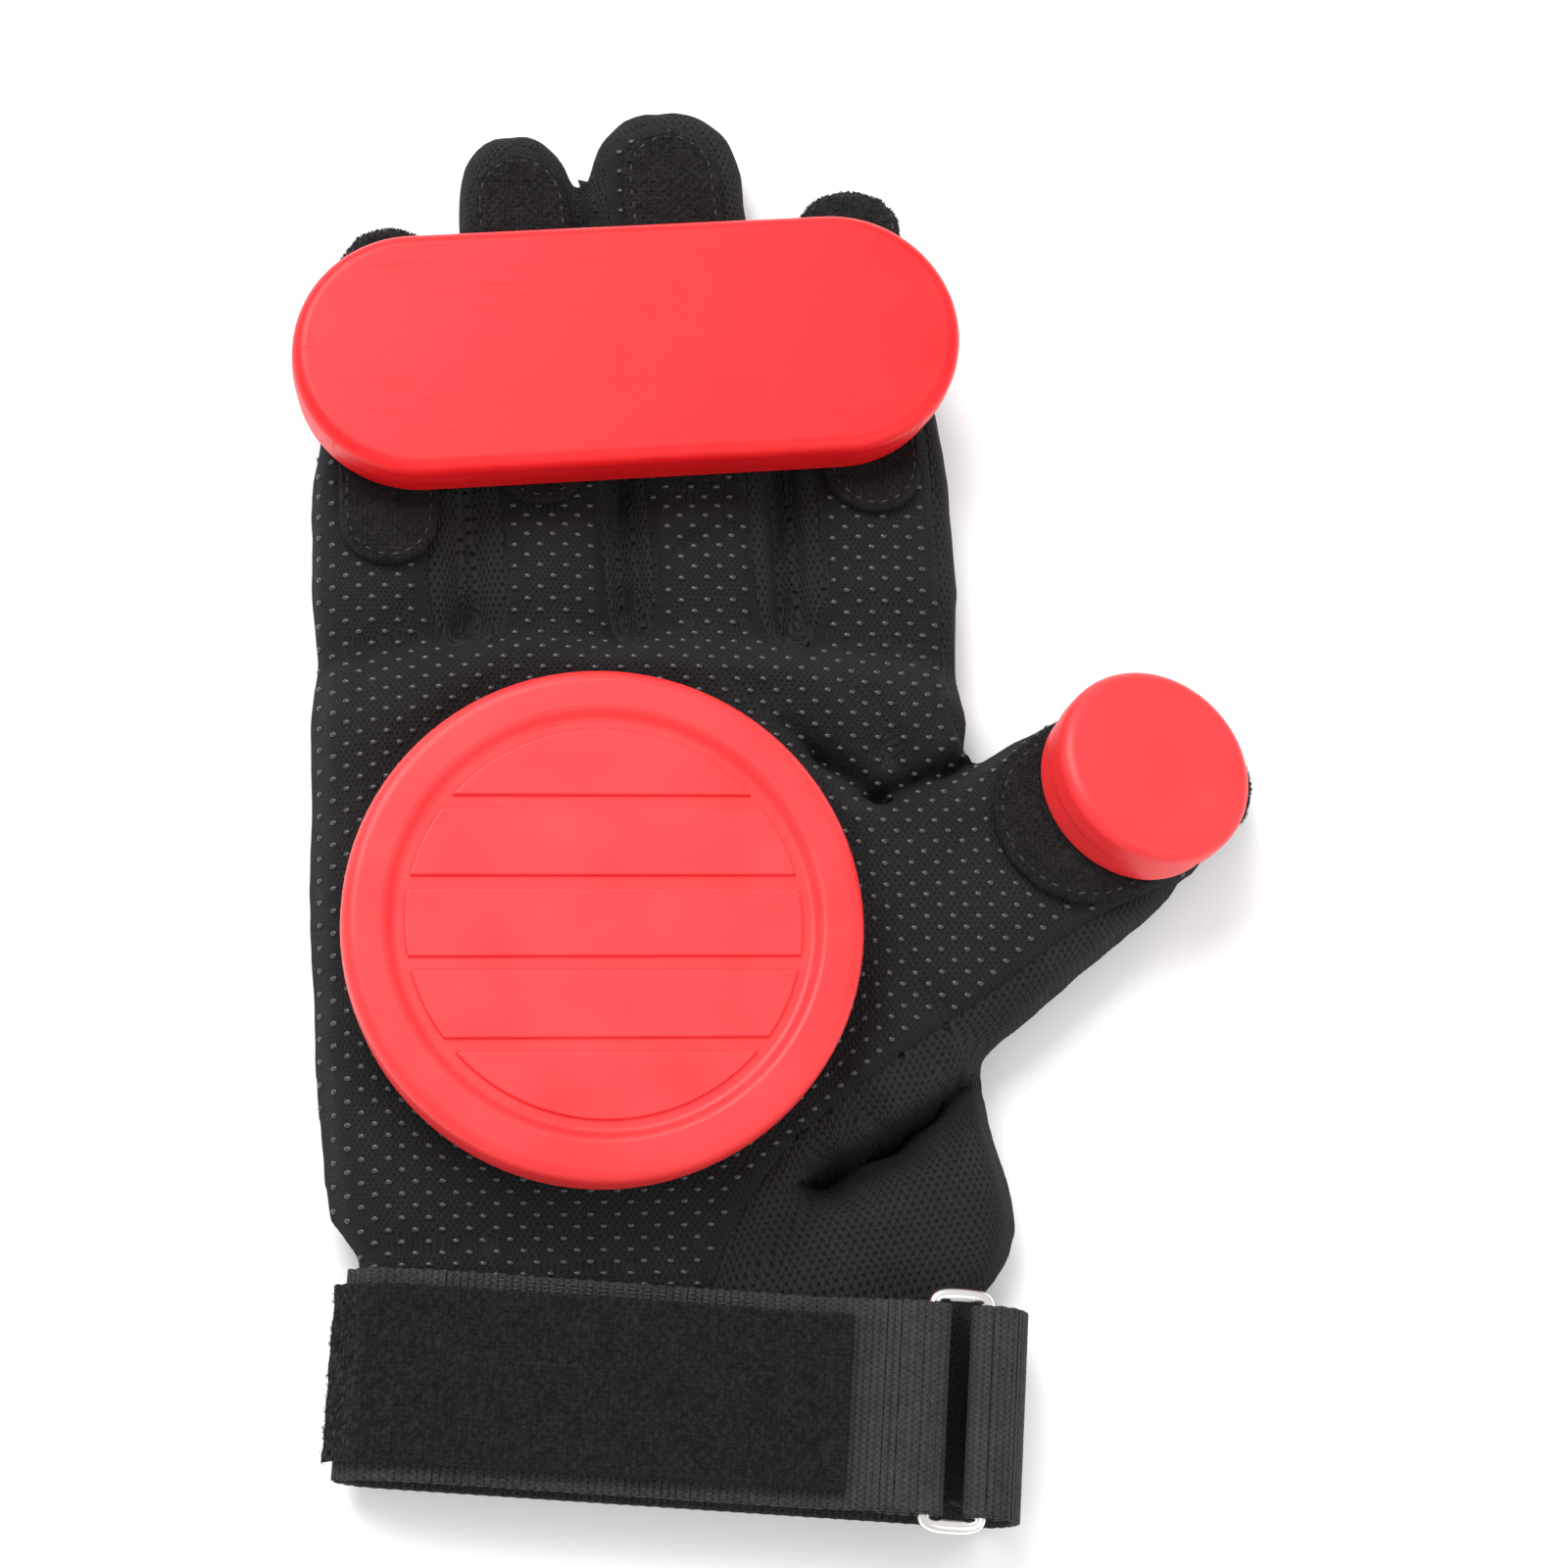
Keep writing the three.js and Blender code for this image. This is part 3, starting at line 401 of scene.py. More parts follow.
def evenly_meshed(source, size):
    """The same solid as even quads, through Blender's voxel remesh."""
    mesh = mesh_from("even", source)
    holder = add_object("even", mesh)
    voxels = holder.modifiers.new("voxels", "REMESH")
    voxels.mode = "VOXEL"
    voxels.voxel_size = size
    made = bmesh.new()
    made.from_object(holder, bpy.context.evaluated_depsgraph_get())
    bpy.data.objects.remove(holder)
    bpy.data.meshes.remove(mesh)
    return made


def everything(made):
    return made.verts[:] + made.edges[:] + made.faces[:]


def even_out(made, verts):
    bmesh.ops.smooth_vert(made, verts=verts, factor=0.5, use_axis_x=True, use_axis_y=True, use_axis_z=True)


def soften(made, rounds):
    for _ in range(rounds):
        even_out(made, made.verts)
    made.normal_update()


def grow(made, distance):
    made.normal_update()
    for vert in made.verts:
        vert.co += vert.normal * distance


def lay_cloth_map(mesh, turned):
    """UVs in millimetres that run over the piece and down its sides, as cloth does."""
    count = len(mesh.vertices)
    places = np.empty(count * 3, np.float32)
    mesh.vertices.foreach_get("co", places)
    normals = np.empty(count * 3, np.float32)
    mesh.vertex_normals.foreach_get("vector", normals)
    places, normals = places.reshape(-1, 3) / MM, normals.reshape(-1, 3)
    drop = places[:, 2].max() - places[:, 2]
    flat = places[:, :2] + normals[:, :2] * drop[:, None]
    cos, sin = math.cos(turned), math.sin(turned)
    flat = flat @ np.array([[cos, -sin], [sin, cos]])
    corners = np.empty(len(mesh.loops), np.int32)
    mesh.loops.foreach_get("vertex_index", corners)
    layer = mesh.uv_layers.new(name="cloth")
    layer.data.foreach_set("uv", flat[corners].astype(np.float32).ravel())


def add_piece(name, made, finish, slot, *nodes, mapped=None):
    return dress(name, mesh_from(name, made), finish, slot, *nodes, mapped=mapped)


def dress(name, mesh, finish, slot, *nodes, mapped=None):
    mesh.materials.append(finish)
    mesh.shade_smooth()
    if mapped is not None:
        lay_cloth_map(mesh, mapped)
    piece = add_object(name, mesh)
    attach(piece, "root")
    if nodes:
        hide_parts(*nodes)
    lowest = min(vert.co.z for vert in mesh.vertices) / MM
    print(f"{name}: {len(mesh.polygons)} faces, lowest point {lowest:.2f} mm")
    return piece


print("mesh helpers ready")

# %% [markdown]
# The glove's six cloth panels are sewn edge to edge, so their surface runs on over the seams. To
# keep that, the panels' copies are first made one even skin. They are grown a little so that the
# gaps between them close. A coarse core, closed at the wrist and a little smaller, fills the hollow,
# and blocks fill the slits between the fingers, so the fine remesh leaves only the outside. The
# wrist's end is then cut off.

# %% The glove's outer skin
PANELS = {
    "palm_panel": ("palm_cloth", grip_cloth, "grip_cloth", 0.0),
    "back_panel": ("back_cloth", mesh_cloth, "mesh_cloth", 0.0),
    "thumb_gusset": ("gusset_cloth", mesh_cloth, "mesh_cloth", math.radians(8)),
    "fork_little_ring": ("fork_cloth_little_ring", mesh_cloth, "mesh_cloth", 0.0),
    "fork_ring_middle": ("fork_cloth_ring_middle", mesh_cloth, "mesh_cloth", 0.0),
    "fork_middle_index": ("fork_cloth_middle_index", mesh_cloth, "mesh_cloth", 0.0),
}
CLOTH_WALL = 1.6 * MM
SKIN_SIZE = 0.9 * MM
SKIN_ROUNDS = 14
GAP_GROWTH = 0.26 * MM
RIM_CUT = 1.5 * MM
CAP_CUT = 1.2 * MM
CORE_SIZE = 1.6 * MM
CORE_INSET = 0.8 * MM
STRAP_TURN = math.radians(-4.8)
STRAP_MIDDLE = Vector((9.2, -78.3, 0)) * MM
STRAP_FROM_OPENING = 18.5 * MM

strap_across = Vector((math.cos(STRAP_TURN), math.sin(STRAP_TURN), 0))
strap_along = Vector((-math.sin(STRAP_TURN), math.cos(STRAP_TURN), 0))


def largest_part(made):
    """Keeps only the connected part with the most faces."""
    unseen = set(made.faces)
    best = []
    while unseen:
        part = [unseen.pop()]
        for face in part:
            for edge in face.edges:
                for other in edge.link_faces:
                    if other in unseen:
                        unseen.remove(other)
                        part.append(other)
        best = max(best, part, key=len)
    kept = set(best)
    bmesh.ops.delete(made, geom=[face for face in made.faces if face not in kept], context="FACES")


WEBS = {
    "fork_little_ring": (50, 118),
    "fork_ring_middle": (50, 140),
    "fork_middle_index": (50, 122),
}
WEB_STEP = 4 * MM
WEB_WIDTH = 5.5 * MM
WEB_BOTTOM = 1.5 * MM
WEB_TOP = 8.6 * MM
WEB_END_TOP = 4.6 * MM
WEB_END = 8 * MM


def add_webs(made):
    """Fills the slit between two fingers with overlapping blocks, lower at both of its ends."""
    for node, (start, end) in WEBS.items():
        corners = [vert.co for vert in frame["nodes"][node].data.vertices]
        for stop in np.arange(start * MM, end * MM, WEB_STEP):
            near = [corner.x for corner in corners if abs(corner.y - stop) < 2 * WEB_STEP]
            rise = min((stop - start * MM) / WEB_END, (end * MM - stop) / WEB_END, 1)
            top = WEB_END_TOP + (WEB_TOP - WEB_END_TOP) * rise
            place = Matrix.Translation(((min(near) + max(near)) / 2, stop, (WEB_BOTTOM + top) / 2))
            sides = Matrix.Diagonal((WEB_WIDTH, 1.5 * WEB_STEP, top - WEB_BOTTOM, 1))
            bmesh.ops.create_cube(made, size=1, matrix=place @ sides)


def open_wrist(made, depth):
    """Cuts off the wrist's end and keeps the largest part of what is left."""
    rim = STRAP_MIDDLE - strap_along * (STRAP_FROM_OPENING - depth)
    bmesh.ops.bisect_plane(made, geom=everything(made), plane_co=rim, plane_no=-strap_along,
                           clear_outer=True)
    largest_part(made)


def grown_panels():
    made = merged_copy(*PANELS)
    grow(made, GAP_GROWTH)
    return made


core = evenly_meshed(grown_panels(), CORE_SIZE)
open_wrist(core, RIM_CUT)
bmesh.ops.holes_fill(core, edges=[edge for edge in core.edges if edge.is_boundary])
grow(core, -CORE_INSET)
add_webs(core)
skin = grown_panels()
skin.from_mesh(mesh_from("core", core))
skin = evenly_meshed(skin, SKIN_SIZE)
open_wrist(skin, RIM_CUT + CAP_CUT)
soften(skin, SKIN_ROUNDS)
grow(skin, -GAP_GROWTH)
print("skin:", len(skin.faces), "faces")

# %% [markdown]
# Now the skin is cut along its seams. Each vertex measures how far it is from every CAD panel, and
# the nearest panel owns it. Where two owners meet, the closest vertices are moved onto the line
# between them, and faces are split through those vertices, so that a seam is a clean line and not
# a stair of quads. A seam also pulls its cloth in, which makes the groove that shows between sewn
# panels.

# %% Seams
REST = 0.25 * MM
SEAM_DEPTH = 0.75 * MM
SEAM_WIDTH = 1.3 * MM
SEAM_ROUNDS = 8
BESIDE_SEAM = 2.5 * SKIN_SIZE
TIPS_FROM = 112 * MM
TIPS_OVER = 12 * MM
TIPS_SHALLOW = 0.75
ISLAND = 150

skin.verts.ensure_lookup_table()
skin.verts.index_update()
reach = np.array([[tree.find_nearest(vert.co)[3] for vert in skin.verts]
                  for tree in (tree_of(name) for name in PANELS)]).T
pairs = np.array([[vert.index for vert in edge.verts] for edge in skin.edges])


def spread(values, rounds):
    """Averages each vertex's value with its neighbours'."""
    links = np.bincount(pairs.ravel(), minlength=len(values))
    for _ in range(rounds):
        near = (np.bincount(pairs[:, 0], values[pairs[:, 1]], len(values))
                + np.bincount(pairs[:, 1], values[pairs[:, 0]], len(values)))
        values = (values + near / links) / 2
    return values


reach = np.stack([spread(column, SEAM_ROUNDS) for column in reach.T]).T
owner = reach.argmin(axis=1)


def join_islands():
    """Gives each small patch of one owner to the owner round it."""
    links = [[] for _ in owner]
    for a, b in pairs.tolist():
        links[a].append(b)
        links[b].append(a)
    unseen = np.ones(len(owner), bool)
    for seed in range(len(owner)):
        if not unseen[seed]:
            continue
        patch, border = [seed], []
        unseen[seed] = False
        for here in patch:
            for there in links[here]:
                if owner[there] != owner[seed]:
                    border.append(there)
                elif unseen[there]:
                    unseen[there] = False
                    patch.append(there)
        if border and len(patch) < ISLAND:
            winner = int(np.bincount(owner[border]).argmax())
            reach[patch, winner] = reach[patch].min(axis=1) * 0.5
            owner[patch] = winner


join_islands()
ordered = np.sort(reach, axis=1)
seam_gap = ordered[:, 1] - ordered[:, 0]
moves = {}
for a, b in pairs[owner[pairs[:, 0]] != owner[pairs[:, 1]]]:
    near_a = reach[a, owner[b]] - reach[a, owner[a]]
    near_b = reach[b, owner[a]] - reach[b, owner[b]]
    share = near_a / max(near_a + near_b, 1e-12)
    crossing = skin.verts[a].co.lerp(skin.verts[b].co, share)
    moves.setdefault(a if share <= 0.5 else b, []).append(crossing)
for index, crossings in moves.items():
    skin.verts[index].co = sum(crossings, Vector()) / len(crossings)
    seam_gap[index] = 0
seam_layer = skin.verts.layers.float.new("seam")
for vert in skin.verts:
    vert[seam_layer] = seam_gap[vert.index]
on_seam = set(moves)
bmesh.ops.connect_verts(skin, verts=[skin.verts[index] for index in on_seam])
panel_names = list(PANELS)
owner_layer = skin.faces.layers.int.new("owner")
for face in skin.faces:
    inner = [vert.index for vert in face.verts if vert.index not in on_seam]
    voters = inner or [vert.index for vert in face.verts]
    face[owner_layer] = int(reach[voters].sum(axis=0).argmin())
seam_edges = [edge for edge in skin.edges if len(edge.link_faces) == 2
              and edge.link_faces[0][owner_layer] != edge.link_faces[1][owner_layer]]
neighbours = {}
for edge in seam_edges:
    for vert in edge.verts:
        neighbours.setdefault(vert, []).append(edge.other_vert(vert))
beside_seam = [vert for vert in skin.verts
               if vert[seam_layer] < BESIDE_SEAM and vert not in neighbours]
for _ in range(SEAM_ROUNDS):
    smoothed = {vert: (vert.co * 2 + near[0].co + near[1].co) / 4
                for vert, near in neighbours.items() if len(near) == 2}
    for vert, place in smoothed.items():
        vert.co = place
    even_out(skin, beside_seam)
skin.normal_update()
for vert in skin.verts:
    gap = vert[seam_layer] / SEAM_WIDTH
    if gap < 3:
        shallow = min(max((vert.co.y - TIPS_FROM) / TIPS_OVER, 0), 1)
        vert.co -= vert.normal * SEAM_DEPTH * (1 - TIPS_SHALLOW * shallow) * math.exp(-gap * gap)
        vert.co.z = max(vert.co.z, REST)
print("seams:", len(seam_edges), "edges")

# %% [markdown]
# The solids carry only the main folds. Cloth also has soft unevenness and sharp creases where it
# folds hard, so the skin takes both: noise along its normals, and a table of creases. Each row of
# the table has both ends of the crease in millimetres, its depth, its width on the left and on the
# right of its line, and how far its left lip hangs over the line. Nothing moves where a puck, a patch
# or the strap presses on the cloth.

# %% Wrinkles and creases
CREASES = [
    (36, 39.5, 42, 35, 2, 1.4, 3, 0.6),
    (42, 35, 51.2, 28.5, 3.8, 1.4, 3.4, 1.1),
    (51.2, 28.5, 63.3, 33.6, 3.6, 1.4, 3.2, 1.1),
    (63.3, 33.6, 67, 35.6, 1.6, 1.4, 2.6, 0.4),
    (39.5, -39.7, 50.4, -33.5, 6.5, 1.3, 5.5, 1.9),
    (50.4, -33.5, 57.3, -28.9, 5.4, 1.3, 5, 1.7),
    (57.3, -28.9, 63, -25, 3.2, 1.3, 3.8, 1),
    (38, -40.5, 40.5, -39, 2.5, 2, 2.6, 0),
    (26, -60, 38, -43, 1, 3, 3, 0),
    (-44, -52, -20, -54, 0.8, 3, 3, 0),
    (-30, -58, 4, -57.5, 0.7, 2.4, 2.4, 0),
    (-16, 50, 2, 55.5, 0.9, 2.6, 2.6, 0),
    (16, 74, 26, 78, 1.1, 1.8, 1.8, 0),
    (47, 46, 56, 34, 0.9, 3, 3, 0),
    (60, 12, 66, 24, 0.7, 2.5, 2.5, 0),
]
CREASE_FULL = 3.5 * MM
LIP_WIDTH = 2.2 * MM
SEWN_PILES = ["little_pile", "ring_pile", "middle_pile", "index_pile", "thumb_pile"]
PRESS_REACH = 6 * MM
BROAD_SIZE, BROAD_HEIGHT = 17 * MM, 0.55 * MM
FINE_SIZE, FINE_HEIGHT = 5 * MM, 0.2 * MM

pressed = tree_of("palm_puck", "finger_puck", "thumb_puck", "palm_pile", *SEWN_PILES,
                  "wrist_tape", "closing_strap")


def crease_move(place, x1, y1, x2, y2, depth, left, right, lip):
    """How a point of the cloth moves for one crease."""
    start, end = Vector((x1, y1)) * MM, Vector((x2, y2)) * MM
    share = geometry.intersect_point_line(place.xy, start, end)[1]
    offset = place.xy - start.lerp(end, min(max(share, 0), 1))
    if offset.length > 3 * max(left, right) * MM:
        return Vector()
    rightwards = Vector((end.y - start.y, start.x - end.x)).normalized()
    width = right if offset.dot(rightwards) > 0 else left
    sink = depth * MM * math.exp(-(offset.length / (width * MM)) ** 2)
    slide = rightwards * (lip * MM * math.exp(-(offset.length / LIP_WIDTH) ** 2))
    return Vector((slide.x, slide.y, -sink))


# The "crease" attribute holds how deep the creases sink the cloth; the cloth finishes darken their base
# colour by it, which is painted shade.
crease_shade_layer = skin.verts.layers.float.new("crease")
skin.normal_update()
for vert in skin.verts:
    clearance = min(pressed.find_nearest(vert.co)[3] / PRESS_REACH, 1)
    broad = noise.noise(vert.co / BROAD_SIZE) * BROAD_HEIGHT
    fine = noise.noise(vert.co / FINE_SIZE + Vector((7, 3, 1))) * FINE_HEIGHT
    move = vert.normal * (broad + fine) * clearance
    if vert.normal.z > 0.1:
        creasing = sum((crease_move(vert.co, *crease) for crease in CREASES), Vector()) * clearance
        vert[crease_shade_layer] = min(-creasing.z / CREASE_FULL, 1)
        move += creasing
    vert.co += move
    vert.co.z = max(vert.co.z, REST)
print("wrinkles laid")

# %% [markdown]
# Each panel is a copy of the skin without the others' faces. A Solidify modifier gives it the
# cloth's thickness inwards, so the hollow of the glove stays open at the wrist.

# %% Panels
def panel_of(name):
    part = skin.copy()
    layer = part.faces.layers.int["owner"]
    wanted = panel_names.index(name)
    bmesh.ops.delete(part, geom=[face for face in part.faces if face[layer] != wanted], context="FACES")
    return part


palm_part = panel_of("palm_panel")
for name, (piece_name, finish, slot, turned) in PANELS.items():
    cloth = add_piece(piece_name, panel_of(name), finish, slot, name, mapped=turned)
    wall = cloth.modifiers.new("cloth_wall", "SOLIDIFY")
    wall.thickness = CLOTH_WALL
    wall.offset = -1
skin_tree = BVHTree.FromBMesh(skin)
skin.free()

# %% [markdown]
# Where the back of the glove meets the heel of the thumb, its edge is turned over into a soft roll.
# The roll is a curve with a round bevel. Its points are snapped to the skin and it thins out at both
# ends, and then it becomes a mesh in place.

# %% Rolled edge at the heel
ROLL = [(68.4, -38.2), (69.8, -41.2), (71.6, -44.8), (72.4, -48.4), (71.8, -52), (70.4, -55.6),
        (68.4, -59.6)]
ROLL_HEIGHT = 7.2 * MM
ROLL_RADIUS = 1.3 * MM
ROLL_PROUD = 0.2
ROLL_STEPS = 40


def rounded_line(line, rounds):
    """Rounds off the corners of a line of evenly spaced points."""
    for _ in range(rounds):
        line[1:-1] = (line[:-2] + 2 * line[1:-1] + line[2:]) / 4
    return line


def curve_mesh(name, points, radii, thickness, closed=False):
    """A tube mesh along points, through a curve with a round bevel."""
    curve = bpy.data.curves.new(name, "CURVE")
    curve.dimensions = "3D"
    curve.bevel_depth = thickness
    curve.bevel_resolution = 5
    curve.use_fill_caps = not closed
    line = curve.splines.new("POLY")
    line.points.add(len(points) - 1)
    for point, place, radius in zip(line.points, points, radii):
        point.co = (*place, 1)
        point.radius = radius
    line.use_cyclic_u = closed
    holder = add_object(name, curve)
    bpy.context.view_layer.update()
    made = bpy.data.meshes.new_from_object(holder.evaluated_get(bpy.context.evaluated_depsgraph_get()))
    bpy.data.objects.remove(holder)
    made.materials.clear()
    return made


knots = np.array(ROLL) * MM
stops = np.linspace(0, len(knots) - 1, ROLL_STEPS)
roll_line = np.stack([np.interp(stops, range(len(knots)), knots[:, axis]) for axis in (0, 1)]).T
roll_points = []
for place in rounded_line(roll_line, 8):
    point, normal, _, _ = skin_tree.find_nearest(Vector((*place, ROLL_HEIGHT)))
    roll_points.append(point + normal * ROLL_RADIUS * ROLL_PROUD)
roll_radii = [0.25 + 0.75 * math.sin(angle) ** 0.5 for angle in np.linspace(0, math.pi, ROLL_STEPS)]
roll_mesh = curve_mesh("heel_roll", roll_points, roll_radii, ROLL_RADIUS)
dress("heel_roll", roll_mesh, mesh_cloth, "mesh_cloth", mapped=0.0)

# %% [markdown]
# Grip dots, stitches and pile loops are all the same job: one tiny shape, set down thousands of
# times. The shape is made once with operators and is copied by its vertex array, which is quick.
# Each place has a point, three axes and a size.

# %% Scatter helper
DROP_HEIGHT = 0.1


def shape_arrays(made):
    made.verts.index_update()
    points = np.array([vert.co for vert in made.verts])
    faces = [[vert.index for vert in face.verts] for face in made.faces]
    made.free()
    return points, faces


def scatter(name, shape, places, finish, slot):
    """places is a list of (point, across, along, up, (size across, along, up))."""
    points, faces = shape
    spots = np.array([place[0] for place in places])
    axes = np.array([[place[1], place[2], place[3]] for place in places])
    sizes = np.array([place[4] for place in places])
    scaled = points[None, :, :] * sizes[:, None, :]
    verts = spots[:, None, :] + np.einsum("nki,nij->nkj", scaled, axes)
    step = len(points)
    all_faces = [[index + step * turn for index in face] for turn in range(len(places)) for face in faces]
    mesh = bpy.data.meshes.new(name)
    mesh.from_pydata(verts.reshape(-1, 3).tolist(), [], all_faces)
    return dress(name, mesh, finish, slot, mapped=0.0)


def frame_on(normal, heading):
    """Three axes: across, along the heading, and up the normal."""
    up = Vector(normal).normalized()
    across = Vector(heading).cross(up).normalized()
    return across, up.cross(across), up


def dropped(tree, x, y):
    """Where a plumb line from above meets the tree: the point, the normal and the face."""
    return tree.ray_cast(Vector((x, y, DROP_HEIGHT)), Vector((0, 0, -1)))[:3]


random_source = np.random.default_rng(11)
print("scatter helper ready")

# %% [markdown]
# The palm cloth is printed with rows of grip dots, each row half a step to the side of the last.
# A ray is dropped for each one, and the dot stands where it meets the palm. Dots stay clear of
# seams, patches and the strap.

# %% Grip dots
DOT_STEP = 4.6 * MM
DOT_ROW = 1.98 * MM
DOT_SIZE = (0.74 * MM, 0.54 * MM, 0.45 * MM)
SEAM_CLEAR = 1.3 * MM

dome = bmesh.new()
bmesh.ops.create_uvsphere(dome, u_segments=8, v_segments=6, radius=1)
bmesh.ops.bisect_plane(dome, geom=everything(dome), plane_co=(0, 0, -0.1), plane_no=(0, 0, -1),
                       clear_outer=True)
dot_shape = shape_arrays(dome)
covers = tree_of("palm_pile", *SEWN_PILES, "wrist_tape")
palm_tree = BVHTree.FromBMesh(palm_part)
palm_part.faces.ensure_lookup_table()
seam_of = palm_part.verts.layers.float["seam"]
dots = []
palm_low, palm_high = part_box("palm_panel")
rows = int((palm_high.y - palm_low.y) / DOT_ROW)
for row in range(rows):
    y = palm_low.y + row * DOT_ROW
    x = palm_low.x + (row % 2) * DOT_STEP / 2
    while x < palm_high.x:
        point, normal, index = dropped(palm_tree, x, y)
        x += DOT_STEP
        if point is None or normal.z < 0.2:
            continue
        if covers.ray_cast(point, Vector((0, 0, 1)))[0]:
            continue
        if min(vert[seam_of] for vert in palm_part.faces[index].verts) < SEAM_CLEAR:
            continue
        dots.append((point, *frame_on(normal, (0, 1, 0)), DOT_SIZE))
scatter("grip_dots", dot_shape, dots, grip_dot, "grip_cloth")

# %% [markdown]
# Each loop pile patch is soft felt-like pile on a sewn backing. Its CAD copy is remeshed finely,
# its edges are softened, and noise roughens it.

# %% Pile patches
PILE_SIZE = 0.6 * MM
PILE_SINK = 0.25 * MM
PILE_ROUNDS = 4
TUFT_SIZE, TUFT_HEIGHT = 0.9 * MM, 0.14 * MM


def patch_name(node):
    return node.replace("pile", "patch")


patch_trees = {}
for node in (*SEWN_PILES, "palm_pile"):
    patch = merged_copy(node)
    grow(patch, PILE_SINK)
    patch = evenly_meshed(patch, PILE_SIZE)
    soften(patch, PILE_ROUNDS)
    for vert in patch.verts:
        vert.co += vert.normal * noise.noise(vert.co / TUFT_SIZE) * TUFT_HEIGHT
    patch_trees[node] = BVHTree.FromBMesh(patch)
    add_piece(patch_name(node), patch, loop_pile, "loop_pile", node, mapped=0.0)

# %% [markdown]
# The pucks are turned shapes. A profile of a few points is spun about the puck's axis, and its edge
# rings are bevelled: a wide soft edge on the face that slides, a small step at mid height where the
# mould parts.

# %% Puck helpers
EDGE_ROUND = 2.6 * MM
PARTING_STEP = 0.6 * MM
PARTING_ROUND = 0.25 * MM
FOOT_ROUND = 0.8 * MM
PARTING_SHARE = 0.45
SHARP_FROM = math.radians(33)


def spun(profile, steps):
    made = bmesh.new()
    verts = [made.verts.new((radius, 0, height)) for radius, height in profile]
    edges = [made.edges.new(pair) for pair in zip(verts, verts[1:])]
    bmesh.ops.spin(made, geom=verts + edges, cent=(0, 0, 0), axis=(0, 0, 1),
                   angle=2 * math.pi, steps=steps, use_merge=True)
    bmesh.ops.remove_doubles(made, verts=made.verts, dist=WELD)
    bmesh.ops.recalc_face_normals(made, faces=made.faces)
    return made


def round_ring(made, radius, height, amount, segments=3):
    """Bevels the ring of edges at one radius and height."""
    def is_there(vert):
        return abs(vert.co.xy.length - radius) < 2 * WELD and abs(vert.co.z - height) < 2 * WELD

    ring = [edge for edge in made.edges if all(is_there(vert) for vert in edge.verts)]
    bmesh.ops.bevel(made, geom=ring, offset=amount, segments=segments, profile=0.5,
                    affect="EDGES", material=-1)


def puck_body(radius, thick, steps, face=()):
    """face holds the profile's points inwards from the sliding edge."""
    tray = radius - PARTING_STEP
    parting = thick * PARTING_SHARE
    made = spun([(0, 0), (tray, 0), (tray, parting), (radius, parting + PARTING_STEP),
                 (radius, thick), *face, (0, face[-1][1] if face else thick)], steps)
    round_ring(made, radius, thick, EDGE_ROUND, 6)
    round_ring(made, radius, parting + PARTING_STEP, PARTING_ROUND)
    round_ring(made, tray, 0, FOOT_ROUND)
    return made


def add_slider(name, made, node, finish):
    piece = add_piece(name, made, finish, "red_plastic", node)
    piece.data.set_sharp_from_angle(angle=SHARP_FROM)
    evened = piece.modifiers.new("flat_faces", "WEIGHTED_NORMAL")
    evened.keep_sharp = True
    evened.weight = 100


print("puck helpers ready")

# %% [markdown]
# The palm puck has a flat rim round a shallow recess. Plain raised wear bars fill the recess: each
# starts as the outline of a disc cut to a strip, and is extruded in levels that round its edge.

# %% Palm puck
PUCK_STEPS = 96
PUCK_RADIUS = 45 * MM
PUCK_THICK = 13 * MM
RIM_WIDTH = 6.2 * MM
RECESS_DEPTH = 1.6 * MM
RECESS_ROUND = 0.6 * MM
BAR_COUNT = 5
BAR_GAP = 2.4 * MM
BAR_MARGIN = 2 * MM
BAR_LEVELS = [(0, -0.3 * MM), (0, 0.45 * MM), (0.12 * MM, 0.73 * MM), (0.4 * MM, 0.85 * MM)]
ARC_STEPS = 32

recess_radius = PUCK_RADIUS - EDGE_ROUND - RIM_WIDTH
recess_floor = PUCK_THICK - RECESS_DEPTH
palm_puck = puck_body(PUCK_RADIUS, PUCK_THICK, PUCK_STEPS, (
    (recess_radius + RECESS_DEPTH, PUCK_THICK), (recess_radius, recess_floor)))
round_ring(palm_puck, recess_radius + RECESS_DEPTH, PUCK_THICK, RECESS_ROUND, 4)
round_ring(palm_puck, recess_radius, recess_floor, RECESS_ROUND, 4)


def bar_outline(low, high, radius):
    """The plan of a disc that is cut to a strip: two arcs, joined by straight ends."""
    right = np.linspace(math.asin(max(low / radius, -1)), math.asin(min(high / radius, 1)), ARC_STEPS)
    angles = (*right, *(math.pi - right[::-1]))
    return [(radius * math.cos(angle), radius * math.sin(angle)) for angle in angles]


def wear_bar(low, high, radius):
    made = bmesh.new()
    face = made.faces.new([made.verts.new() for _ in range(2 * ARC_STEPS)])
    for level, (inward, height) in enumerate(BAR_LEVELS):
        if level > 0:
            face = bmesh.ops.extrude_discrete_faces(made, faces=[face])["faces"][0]
        for vert, place in zip(face.verts, bar_outline(low + inward, high - inward, radius - inward)):
            vert.co = (*place, recess_floor + height)
    bmesh.ops.remove_doubles(made, verts=made.verts, dist=WELD)
    return made


bars_radius = recess_radius - BAR_MARGIN
bar_pitch = (2 * bars_radius + BAR_GAP) / BAR_COUNT
for row in range(BAR_COUNT):
    low = row * bar_pitch - bars_radius
    bar = wear_bar(low, low + bar_pitch - BAR_GAP, bars_radius)
    palm_puck.from_mesh(mesh_from("wear_bar", bar))
low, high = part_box("palm_puck")
palm_place = ((low.x + high.x) / 2, (low.y + high.y) / 2, low.z)
bmesh.ops.translate(palm_puck, verts=palm_puck.verts, vec=palm_place)
add_slider("palm_slider", palm_puck, "palm_puck", rubbed_red)

